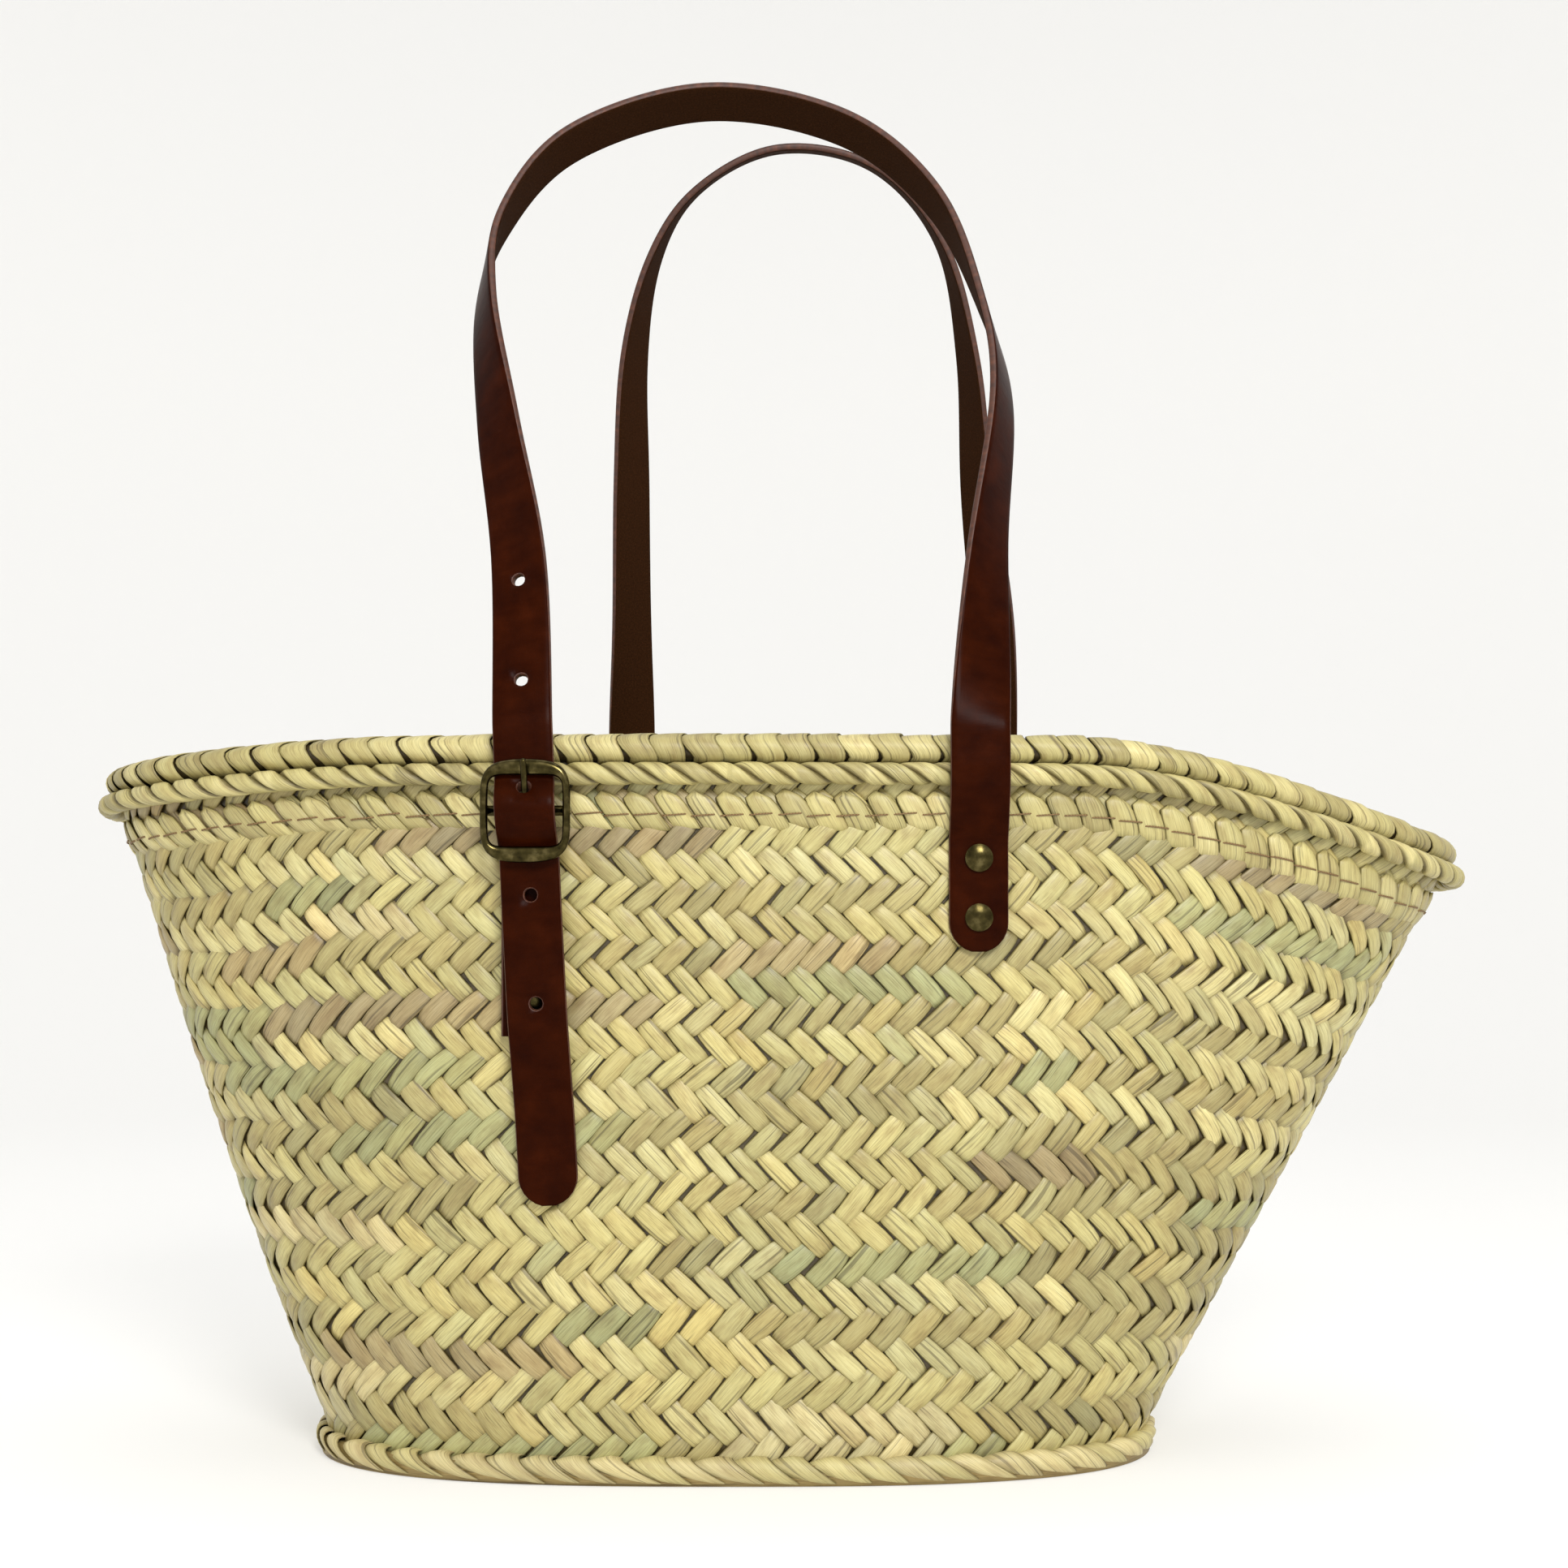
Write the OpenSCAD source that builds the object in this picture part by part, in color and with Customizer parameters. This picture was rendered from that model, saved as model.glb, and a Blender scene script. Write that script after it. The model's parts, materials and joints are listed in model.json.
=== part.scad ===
// Woven market basket: a flared oval body plaited from palm leaf, a wrapped rim, a corded hem
// and two long leather shoulder straps, each riveted at one end and buckled at the other.
// Origin: centre of the base's underside. +X is the basket's long way, -Y its front, +Z is up.

/* [Basket body] */
// Length of the base, outside of the wall
base_l = 294; // [240:1:360]
// Width of the base, outside of the wall
base_w = 148; // [120:1:180]
// Length of the mouth, outside of the wall
mouth_l = 496; // [420:1:600]
// Width of the mouth, outside of the wall
mouth_w = 194; // [160:1:240]
// How far the mouth's long way is set over towards +X
mouth_shift = 17; // [0:1:30]
// Height of the wall's top edge at the middle of the front
wall_h = 242; // [200:1:300]
// How far the rim sinks at the +X end
drop_right = 32; // [0:1:40]
// How far the rim sinks at the -X end
drop_left = 6; // [0:1:40]
// How far the wall bellies out at half height
belly = 2; // [0:0.5:6]
// Thickness of the plaited wall
wall_t = 3; // [2:0.5:4]
// Thickness of the plaited floor
floor_t = 3; // [2:0.5:4]

/* [Rim and hem] */
// Height of the wrapped roll that sits on the wall's top edge
roll_h = 11; // [8:0.5:14]
// Width of the wrapped roll
roll_w = 14; // [11:0.5:16]
// Thickness of the twisted cord under the roll
cord_d = 8; // [6:0.5:9]
// Height of the folded edge under the cord
fold_h = 12; // [8:0.5:14]
// Thickness of the folded edge
fold_t = 1.8; // [1:0.1:2]
// Thickness of the seam thread
thread_t = 0.9; // [0.6:0.1:1]
// Height of the hem round the base
hem_h = 8.4; // [6:0.2:10]
// How far the hem stands out from the wall
hem_t = 6.4; // [4:0.2:8]

/* [Straps] */
// Width of a strap
strap_w = 20; // [16:0.5:24]
// Thickness of a strap
strap_t = 2.8; // [2:0.1:3]
// Lean of the front strap over the mouth, in degrees
front_lean = 16; // [8:1:16]
// Lean of the back strap over the mouth, in degrees
back_lean = 18; // [8:1:18]
// Front strap, middle of its buckled leg at the rim
front_buckle_x = -70; // [-90:1:-60]
// Front strap, middle of its riveted leg at the rim
front_rivet_x = 83; // [60:1:90]
// Back strap, middle of its buckled leg at the rim
back_buckle_x = 109; // [90:1:110]
// Back strap, middle of its riveted leg at the rim
back_rivet_x = -49; // [-60:1:-40]
// Diameter of a punched hole
hole_d = 4.4; // [3.6:0.2:4.8]
// Distance between punched holes
hole_pitch = 36; // [34:1:38]
// Sideways tilt of the strap where it runs through the buckle, in degrees
tail_tilt = 3; // [0:1:3]

/* [Buckles and rivets] */
// Height of the buckle's centre bar over the floor, under the wall's top edge
buckle_below = 16; // [15:0.5:20]
// Width of the buckle
buckle_w = 30; // [29:0.5:34]
// Height of the buckle
buckle_h = 34.5; // [33:0.5:38]
// Width of the bars across the top and the bottom of the buckle
bar_h = 5.2; // [4:0.2:5.6]
// Width of the side rails
rail_w = 2.6; // [2:0.1:3]
// Thickness of the buckle's frame
frame_t = 3; // [2.4:0.1:3.2]
// Diameter of the centre bar
centre_bar_d = 3.5; // [2.5:0.1:4]
// Diameter of the prong
prong_d = 2.2; // [1.6:0.1:2.4]
// Diameter of a rivet's cap
rivet_d = 9.4; // [8:0.2:11]
// Diameter of a rivet's post
post_d = 4; // [3:0.2:4.4]
// Distance between the two rivets of a pair
rivet_pitch = 20; // [16:1:24]

/* [Hidden] */

palm = "#c9c08a";
palm_dark = "#b3a46c";
cream = "#ddd3a6";
thread = "#c7a877";
leather = "#4a2418";
brass = "#8f7740";

// clearances
seat = 0.05;        // between pieces that lie on one another in one body
soft_gap = 0.3;     // between leather and what it lies on
swing_gap = 0.3;    // between a strap and its own lower parts at the bend over the rim
frame_gap = 1.0;    // between the buckle's frame and the strap behind it
bar_gap = 0.15;     // round the centre bar inside its leather loop
prong_gap = 0.06;   // round the centre bar inside the prong's ring
hole_slack = 0.2;   // added to the punched hole that the prong stretches

sides = 96;         // facets round the body
wall_steps = 9;     // levels up the wall
base_square = 2.8;  // 2 is an ellipse, and more is squarer
mouth_square = 2.6;
drop_from = 0.42;   // share of the half length where the rim begins to sink

chape_t = 2;
chape_w = 18;
chape_gap = 0.2;    // between the chape's two layers
washer_t = 1.2;
bend_rise = 14;     // height of the strap's bend over the wall's top edge
cord_drop = 3.2;    // the cord's middle under the wall's top edge

swing_down = 150;    // how far a strap swings out and down
hinge_z = wall_h + bend_rise;
hinge_y = mouth_w / 2 + cord_d + swing_gap + 0.2;
bar_z = wall_h - buckle_below;
bar_q = 9.6;
loop_r = centre_bar_d / 2 + bar_gap + chape_t / 2;
hump_q = bar_q + loop_r + chape_t / 2 + 0.2 + strap_t / 2;
over_cord_q = cord_d + soft_gap + strap_t / 2;
frame_q = over_cord_q + strap_t / 2 + frame_gap + frame_t / 2;
chape_rivet_z = bar_z - 42.5;
end_rivet_z = bar_z - 15;
chape_front_q = soft_gap + 1.5 * chape_t + chape_gap;
chape_face_q = soft_gap + 2 * chape_t + chape_gap;
cap_h = 2.2;
tail_end_z = bar_z - 132;
ring_d = centre_bar_d + 2 * prong_gap + 2.4;
prong_q = (ring_d - prong_d) / 2;   // the shank leaves the front of its ring
edge_q = frame_q + frame_t / 2 - bar_q - prong_q;
edge_up = buckle_h / 2 - bar_h;
prong_lean = atan(edge_q / edge_up) + asin((prong_d / 2 + soft_gap) / norm([edge_q, edge_up]));
prong_hole_up = 8;                  // from the centre bar to the hole that the prong sits in

// Front strap above the rim: sideways place, way up its leaning plane, twist in degrees
front_path = [[front_buckle_x, 0, 0], [-74, 60, 12], [-84, 115, 34], [-91, 165, 62], [-86, 200, 84],
    [-62, 235, 90], [-12, 254, 90], [40, 242, 90], [73, 209, 90], [89, 165, 78], [95, 125, 62],
    [88, 65, 40], [front_rivet_x, 0, 0]];
// Back strap the same way, seen from the back
back_path = [[-back_buckle_x, 0, 0], [-107, 65, 24], [-99, 128, 50], [-94, 180, 68], [-82, 226, 86],
    [-54, 256, 90], [-15, 263, 90], [18, 247, 90], [36, 220, 80], [45, 180, 60], [47, 128, 44],
    [48, 60, 34], [-back_rivet_x, 0, 0]];

// ---- the body's surface ----

function lerp(a, b, t) = a + (b - a) * t;
function ease(t) = let (c = min(1, max(0, t))) c * c * (3 - 2 * c);
function rim_z(u) = wall_h
    - drop_right * ease((cos(u) - drop_from) / (1 - drop_from))
    - drop_left * ease((-cos(u) - drop_from) / (1 - drop_from));
function squareness(t) = lerp(base_square, mouth_square, t);
function half_l(t) = lerp(base_l, mouth_l, t) / 2 + belly * sin(180 * t);
function half_w(t) = lerp(base_w, mouth_w, t) / 2 + belly * sin(180 * t);
function shift(t) = mouth_shift * pow(t, 1.3);
function round_out(u, n) = pow(pow(abs(cos(u)), n) + pow(abs(sin(u)), n), -1 / n);
function share_up(z, top) = min(1, max(0, (z - floor_t) / (top - floor_t)));
// A point of the body at angle u and height z, q outside of the wall's outer face
function body_point(u, z, q) =
    let (t = share_up(z, rim_z(u)), k = round_out(u, squareness(t)))
    [(half_l(t) + q + shift(t) * cos(u)) * k * cos(u), (half_w(t) + q) * k * sin(u), z];
// Half width at x and height z, near the middle of a long side, q outside of the wall
function face_y(x, z, q = 0) =
    let (t = share_up(z, wall_h), a = half_l(t) + q + shift(t) * x / half_l(t), n = squareness(t))
    (half_w(t) + q) * pow(1 - pow(abs(x) / a, n), 1 / n);

// Closed ring round the body. Each section point is [q, height, 1 if measured from the top edge].
module body_ring(section, flip = false) {
    n = len(section);
    pts = [for (i = [0:sides - 1], s = section)
        let (u = 360 * i / sides, top = rim_z(u))
        body_point(u, s[2] == 1 ? top + s[1] : s[2] == 2 ? lerp(floor_t, top, s[1]) : s[1], s[0])];
    tris = [for (i = [0:sides - 1], j = [0:n - 1])
        let (a = i * n + j, b = i * n + (j + 1) % n,
            c = ((i + 1) % sides) * n + (j + 1) % n, d = ((i + 1) % sides) * n + j)
        each flip ? [[a, b, d], [d, b, c]] : [[a, b, c], [a, c, d]]];
    polyhedron(points = pts, faces = tris);
}

// ---- helpers for the straps ----

// Catmull-Rom curve through the points, whose ends are repeated
function spline(p, steps) = let (m = len(p) - 1)
    [for (i = [0:m - 1], k = [0:steps - 1])
        let (t = k / steps, a = p[max(0, i - 1)], b = p[i], c = p[i + 1], d = p[min(m, i + 2)])
        0.5 * (2 * b + (c - a) * t + (2 * a - 5 * b + 4 * c - d) * t * t
            + (3 * b - a - 3 * c + d) * t * t * t),
     p[m]];
function unit(v) = v / norm(v);
function tangent(p, i) = unit(p[min(len(p) - 1, i + 1)] - p[max(0, i - 1)]);
// A band of even thickness along a line in the plane
module band(line, thick) {
    left = [for (i = [0:len(line) - 1])
        let (t = tangent(line, i)) line[i] + thick / 2 * [-t[1], t[0]]];
    right = [for (i = [len(line) - 1:-1:0])
        let (t = tangent(line, i)) line[i] - thick / 2 * [-t[1], t[0]]];
    polygon(concat(left, right));
}
// A strip seen from the side as a line of [outward, up], with its width along X
module strip(line, thick, width) {
    translate([-width / 2, 0, 0]) rotate([90, 0, 90]) linear_extrude(width)
        band([for (p = line) [-p[0], p[1]]], thick);
}
// Cuts a strip's lower end round
module round_end(x, z_end, width) {
    far = 400;
    translate([x, 0, z_end + width / 2]) rotate([90, 0, 0]) linear_extrude(far, center = true) {
        circle(d = width, $fn = 48);
        translate([-width / 2, 0]) square([width, far]);
    }
}
// Cuts a strap's upper end off under the bend, clear of the arch when it hangs right down
module bend_cut() {
    clear = strap_t / 2 + swing_gap;
    far = 200;
    translate([0, -hinge_y, hinge_z]) {
        translate([-far, -far, -clear]) cube([2 * far, 2 * far, far]);
        rotate([swing_down - front_lean - 90, 0, 0])
            translate([-far, -far, -clear]) cube([2 * far, far, far]);
    }
}

// s is 1 on the front and -1 on the back, which is the front turned half round
function near_y(s, x, z, width) =
    max(face_y(s * (x - width / 2), z), face_y(s * (x + width / 2), z));
// Turns points [q, z] into [outward, up], for a strip whose middle is at x where z is bar_z
function lay(s, x, pts, tilt = 0) = [for (p = pts)
    [near_y(s, x + (bar_z - p[1]) * tan(tilt), p[1], strap_w) + p[0], p[1]]];
function bend_q(s, x) = hinge_y - near_y(s, x, hinge_z, strap_w);
function wall_lean(s, x) =
    atan((near_y(s, x, bar_z, strap_w) - near_y(s, x, bar_z - 40, strap_w)) / 40);
function buckle_x(s) = s > 0 ? front_buckle_x : -back_buckle_x;
function rivet_x(s) = s > 0 ? front_rivet_x : -back_rivet_x;
function bar_x(s) = buckle_x(s) + (hinge_z - bar_z) * tan(tail_tilt);

module side(s) rotate([0, 0, s > 0 ? 0 : 180]) children();
// Moves to the wall's outer face at x and z, with -Y along its outward normal
module on_wall(s, x, z) {
    translate([x, -near_y(s, x, z, strap_w), z]) rotate([wall_lean(s, x), 0, 0]) children();
}
// A cylinder standing outward from q = from to q = to
module outward(from, to, d) {
    translate([0, -from, 0]) rotate([90, 0, 0]) cylinder(h = to - from, d = d, $fn = 48);
}
// Each rivet's place, with $inside set to how far in the wall's inner face lies there
module at_rivets(s, x, z_top) {
    for (k = [0, 1]) {
        z = z_top - k * rivet_pitch;
        $inside = near_y(s, x, z, strap_w)
            - min([for (i = [-1, 1]) face_y(s * (x + i * rivet_d / 2), z, -wall_t)]) + seat;
        on_wall(s, x, z) children();
    }
}
module at_end_rivets(s) { at_rivets(s, rivet_x(s), end_rivet_z) children(); }
module at_chape_rivets(s) { at_rivets(s, bar_x(s), chape_rivet_z) children(); }
module at_bar(s) {
    translate([bar_x(s), -near_y(s, bar_x(s), bar_z, strap_w) - bar_q, bar_z])
        rotate([wall_lean(s, bar_x(s)), 0, 0]) children();
}

// ---- palm leaf pieces ----

module basket_wall() {
    outer = [for (k = [0:wall_steps]) [0, k / wall_steps, 2]];
    inner = [for (k = [wall_steps:-1:0]) [-wall_t, k / wall_steps, 2]];
    color(palm) difference() {
        body_ring(concat(outer, inner));
        for (s = [1, -1]) side(s) {
            at_end_rivets(s) outward(-wall_t - 5, 5, post_d + 2 * seat);
            at_chape_rivets(s) outward(-wall_t - 5, 5, post_d + 2 * seat);
        }
    }
}

module basket_floor() {
    color(palm) linear_extrude(floor_t)
        polygon([for (i = [0:sides - 1])
            let (p = body_point(360 * i / sides, floor_t, 0)) [p[0], p[1]]]);
}

module base_hem() {
    color(cream) body_ring([[seat, 0, 0], [0.68 * hem_t, 0, 0], [0.92 * hem_t, 0.16 * hem_h, 0],
        [hem_t, 0.48 * hem_h, 0], [0.9 * hem_t, 0.8 * hem_h, 0], [0.6 * hem_t, hem_h, 0],
        [seat, 0.97 * hem_h, 0]]);
}

// A rounded roll whose flat underside is the wall's top edge
module rim_roll() {
    mid = -wall_t / 2;
    r = roll_w / 2;
    arc = [for (a = [-70:20:250]) [mid + r * cos(a), roll_h / 2 * (1 + 0.98 * sin(a)), 1]];
    color(palm_dark) body_ring(concat([[0, 0, 1]], arc, [[-wall_t, 0, 1]]), true);
}

module rim_cord() {
    r = cord_d / 2;
    color(palm_dark) body_ring([for (a = [0:30:330])
        [r + seat + r * cos(a), r * sin(a) - cord_drop, 1]]);
}

module rim_fold() {
    top = -cord_drop - cord_d / 2 - 0.8;
    color(palm) body_ring([[2 * seat, top - fold_h, 1], [fold_t, top - fold_h + 0.6, 1],
        [fold_t, top - 0.6, 1], [2 * seat, top, 1]]);
}

module rim_seam_thread() {
    mid = -cord_drop - cord_d / 2 - 0.8 - 0.72 * fold_h;
    r = thread_t / 2;
    q = fold_t + seat + r;
    color(thread) body_ring([[q - r, mid - r, 1], [q + r, mid - r, 1], [q + r, mid + r, 1],
        [q - r, mid + r, 1]]);
}

// ---- leather pieces ----

// The strap over the shoulder, from bend to bend. The path's points are [x, way up, twist].
module strap_arch(s, path, lean) {
    line = spline(path, 5);
    mid = [for (p = line) [p[0], p[1]]];
    n = len(line);
    // rings beyond each end make a half round about the bend's axis
    caps = [80, 55, 28];
    first = [for (a = caps) [line[0] - [0, strap_t / 2 * sin(a), 0], cos(a), 0]];
    last = [for (k = [2:-1:0]) [line[n - 1] - [0, strap_t / 2 * sin(caps[k]), 0], cos(caps[k]), n - 1]];
    rings = concat(first, [for (i = [0:n - 1]) [line[i], 1, i]], last);
    m = len(rings);
    pts = [for (r = rings)
        let (i = r[2], end = i == 0 || i == n - 1,
            t2 = end ? [0, i == 0 ? 1 : -1] : tangent(mid, i),
            t = [t2[0], 0, t2[1]],
            out = [-t2[1], 0, t2[0]],
            face = cos(r[0][2]) * [0, -1, 0] + sin(r[0][2]) * out,
            wide = cross(t, face),
            c = [r[0][0], 0, r[0][1]])
        each [for (k = [[1, 1], [-1, 1], [-1, -1], [1, -1]])
            c + k[0] * strap_w / 2 * wide + k[1] * strap_t / 2 * r[1] * face]];
    tris = concat([[0, 1, 2], [0, 2, 3]],
        [for (i = [0:m - 2], j = [0:3])
            let (a = 4 * i + j, b = 4 * i + (j + 1) % 4)
            each [[a, a + 4, b + 4], [a, b + 4, b]]],
        [[4 * m - 4, 4 * m - 2, 4 * m - 3], [4 * m - 4, 4 * m - 1, 4 * m - 2]]);
    color(leather) side(s) difference() {
        translate([0, -hinge_y, hinge_z]) rotate([-lean, 0, 0])
            polyhedron(points = pts, faces = tris);
        for (k = [1, 2]) punch(s, k);
    }
}

// Punched hole number k up from the one that the prong sits in
module punch(s, k) {
    z = prong_hole_up + k * hole_pitch;
    translate([bar_x(s), 0, bar_z]) rotate([0, -tail_tilt, 0]) translate([0, 0, z])
        rotate([90, 0, 0]) cylinder(h = 140, d = hole_d, $fn = 32);
}

// Seen from the side, over the cord and down to the wall
module strap_end(s) {
    x = rivet_x(s);
    q = soft_gap + strap_t / 2;
    z0 = end_rivet_z;
    line = lay(s, x, spline([[bend_q(s, x), hinge_z], [over_cord_q, hinge_z - 10],
        [over_cord_q, wall_h - cord_drop], [over_cord_q - 1, wall_h - 9], [q + 3.2, z0 + 11.6],
        [q, z0 + 5.4], [q, z0 - 6], [q, z0 - 60]], 5));
    color(leather) side(s) difference() {
        intersection() {
            translate([x, 0, 0]) strip(line, strap_t, strap_w);
            round_end(x, z0 - rivet_pitch - 12, strap_w);
        }
        bend_cut();
        at_end_rivets(s) outward(-5, 10, post_d + 2 * seat);
    }
}

// Seen from the side, over the cord, over the loop on the centre bar and down over the chape
module strap_tail(s) {
    x = bar_x(s);
    z0 = bar_z;
    q = soft_gap + strap_t / 2;
    over_caps = chape_face_q + cap_h + soft_gap + strap_t / 2;
    line = lay(s, x, spline([[bend_q(s, buckle_x(s)), hinge_z], [over_cord_q, hinge_z - 10],
        [over_cord_q + 0.2, z0 + 12], [hump_q - 3, z0 + 7.4], [hump_q - 0.3, z0 + 3],
        [hump_q - 0.3, z0 - 3], [hump_q - 3.1, z0 - 8], [chape_face_q + 4.5, z0 - 12],
        [chape_face_q + 3.1, z0 - 18], [over_caps, z0 - 32], [over_caps, z0 - 66],
        [over_caps - 2.5, z0 - 80], [q + 0.8, z0 - 98], [q, z0 - 110],
        [q, z0 - 160]], 4), tail_tilt);
    color(leather) side(s) difference() {
        translate([x, 0, z0]) rotate([0, -tail_tilt, 0]) translate([-x, 0, -z0])
            intersection() {
                translate([x, 0, 0]) strip(line, strap_t, strap_w);
                round_end(x, tail_end_z, strap_w);
            }
        bend_cut();
        at_bar(s) along_prong() cylinder(h = buckle_h / 2, d = hole_d + hole_slack, $fn = 32);
        for (k = [-1, -2]) punch(s, k);
    }
}

// A strip folded round the centre bar, with both its layers riveted to the wall
module chape(s) {
    x = bar_x(s);
    z0 = bar_z;
    y0 = near_y(s, x, z0, strap_w);
    back_q = soft_gap + chape_t / 2;
    back = lay(s, x, [[back_q, z0 - 75], [back_q, z0 - 19], [back_q + 0.2, z0 - 15],
        [back_q + 2.1, z0 - 9.4], [bar_q - loop_r - 0.8, z0 - 5]]);
    front = lay(s, x, [[bar_q + 0.8, z0 - 4.6], [chape_front_q + 3, z0 - 9.4],
        [chape_front_q + 1.3, z0 - 12], [chape_front_q + 0.6, z0 - 14],
        [chape_front_q, z0 - 18.5], [chape_front_q, z0 - 75]]);
    loop = [for (a = [195:-15:-45]) [y0 + bar_q + loop_r * cos(a), z0 + loop_r * sin(a)]];
    slot_w = 5;
    color(leather) side(s) difference() {
        translate([x, 0, 0]) strip(concat(back, loop, front), chape_t, chape_w);
        at_chape_rivets(s) outward(-5, 12, post_d + 2 * seat);
        translate([x, -y0 - bar_q, z0]) translate([-slot_w / 2, -8, -5]) cube([slot_w, 16, 12]);
    }
}

// ---- brass pieces ----

module rounded_plate(w, h, r) {
    square([w - 2 * r, h], center = true);
    square([w, h - 2 * r], center = true);
    for (i = [-1, 1], j = [-1, 1]) translate([i * (w / 2 - r), j * (h / 2 - r)])
        circle(r = r, $fn = 48);
}

// Frame in front of the strap, with its centre bar set back into the chape's loop
module buckle_frame(s) {
    set_back = frame_q - bar_q;
    rail_x = buckle_w / 2 - rail_w / 2;
    color(brass) side(s) at_bar(s) {
        translate([0, -set_back, 0]) rotate([90, 0, 0]) linear_extrude(frame_t, center = true)
            difference() {
                rounded_plate(buckle_w, buckle_h, 5);
                rounded_plate(buckle_w - 2 * rail_w, buckle_h - 2 * bar_h, 2);
            }
        for (i = [-1, 1]) translate([i * rail_x, -set_back / 2, 0])
            cube([rail_w, set_back + centre_bar_d, centre_bar_d + 1.5], center = true);
        rotate([0, 90, 0]) cylinder(h = 2 * rail_x, d = centre_bar_d, center = true, $fn = 48);
    }
}

module along_prong() {
    translate([0, -prong_q, 0]) rotate([prong_lean, 0, 0]) children();
}

// Ring on the centre bar and a shank that goes up through the strap and rests on the top bar
module buckle_prong(s) {
    ring_w = 3.4;
    reach = (buckle_h / 2 - 1) / cos(prong_lean);
    color(brass) side(s) at_bar(s) difference() {
        union() {
            rotate([0, 90, 0]) cylinder(h = ring_w, d = ring_d, center = true, $fn = 48);
            along_prong() {
                cylinder(h = reach, d = prong_d, $fn = 32);
                translate([0, 0, reach]) sphere(d = prong_d, $fn = 32);
            }
        }
        rotate([0, 90, 0])
            cylinder(h = 20, d = centre_bar_d + 2 * prong_gap, center = true, $fn = 48);
    }
}

// Domed cap with its post, standing on a face at distance q from the wall
module rivet(q) {
    dome_r = (rivet_d * rivet_d / 4 + 1.2 * 1.2) / 2.4;
    outward(-$inside - washer_t, q + seat + 0.5, post_d);
    outward(q + seat, q + seat + cap_h - 1.2, rivet_d);
    translate([0, -q - seat - cap_h + 1.2, 0]) intersection() {
        translate([0, dome_r - 1.2, 0]) sphere(r = dome_r, $fn = 64);
        outward(0, 2, rivet_d);
    }
}
module washer() {
    difference() {
        outward(-$inside - washer_t, -$inside, rivet_d);
        outward(-$inside - 5, 0, post_d + 2 * seat);
    }
}

module rivets(s) {
    color(brass) side(s) {
        at_end_rivets(s) rivet(soft_gap + strap_t);
        at_chape_rivets(s) rivet(chape_face_q);
    }
}

module rivet_washers(s) {
    color(brass) side(s) {
        at_end_rivets(s) washer();
        at_chape_rivets(s) washer();
    }
}

basket_wall();
basket_floor();
base_hem();
rim_roll();
rim_cord();
rim_fold();
rim_seam_thread();
strap_arch(1, front_path, front_lean);  // front_strap
strap_end(1);  // front_strap_end
strap_tail(1);  // front_strap_tail
chape(1);  // front_chape
buckle_frame(1);  // front_buckle_frame
buckle_prong(1);  // front_buckle_prong
rivets(1);  // front_rivets
rivet_washers(1);  // front_rivet_washers
strap_arch(-1, back_path, back_lean);  // back_strap
strap_end(-1);  // back_strap_end
strap_tail(-1);  // back_strap_tail
chape(-1);  // back_chape
buckle_frame(-1);  // back_buckle_frame
buckle_prong(-1);  // back_buckle_prong
rivets(-1);  // back_rivets
rivet_washers(-1);  // back_rivet_washers
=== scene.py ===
"""Looks of a plaited palm-leaf market basket with long leather shoulder straps.

Lengths are millimetres unless a comment says metres; meshes are written in metres.
The body is a flared oval. A place on it is given by u, the angle round it in degrees, by t, the
share of the wall's height, and by q, the distance outside of the wall's outer face. A strip of
leaf is a tube of flat sections: a runs along it from -1 to 1, b across it from -1 to 1.
"""
import json
import math

import bpy
import bmesh
import numpy as np
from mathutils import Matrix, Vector


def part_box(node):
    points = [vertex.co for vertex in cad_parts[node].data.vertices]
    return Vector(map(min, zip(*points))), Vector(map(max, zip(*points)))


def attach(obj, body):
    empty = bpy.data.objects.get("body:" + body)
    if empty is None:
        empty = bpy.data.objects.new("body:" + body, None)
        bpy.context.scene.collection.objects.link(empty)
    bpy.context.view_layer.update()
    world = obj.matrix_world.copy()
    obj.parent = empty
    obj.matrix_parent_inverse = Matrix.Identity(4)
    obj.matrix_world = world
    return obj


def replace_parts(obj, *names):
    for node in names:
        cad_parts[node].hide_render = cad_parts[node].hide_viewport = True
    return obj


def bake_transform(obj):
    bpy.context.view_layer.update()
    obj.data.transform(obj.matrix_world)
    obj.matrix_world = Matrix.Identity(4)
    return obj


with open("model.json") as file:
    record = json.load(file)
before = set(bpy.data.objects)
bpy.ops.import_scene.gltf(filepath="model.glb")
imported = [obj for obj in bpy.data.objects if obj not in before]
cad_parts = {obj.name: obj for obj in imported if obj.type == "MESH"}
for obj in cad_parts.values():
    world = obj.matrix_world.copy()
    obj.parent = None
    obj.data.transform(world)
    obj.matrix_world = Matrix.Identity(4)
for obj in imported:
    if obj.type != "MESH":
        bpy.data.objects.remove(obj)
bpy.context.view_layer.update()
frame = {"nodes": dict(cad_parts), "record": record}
joint_places = {j["name"]: j for j in frame["record"]["behaviour"]["joints"]}
rng = np.random.default_rng(24)
MM = 1000.0                 # millimetres in a metre


def corners(node):
    """Lowest and highest corner of a CAD node, in millimetres."""
    low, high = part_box(node)
    return np.array(low) * MM, np.array(high) * MM


# ---------------------------------------------------------------- the basket's sizes

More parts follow.
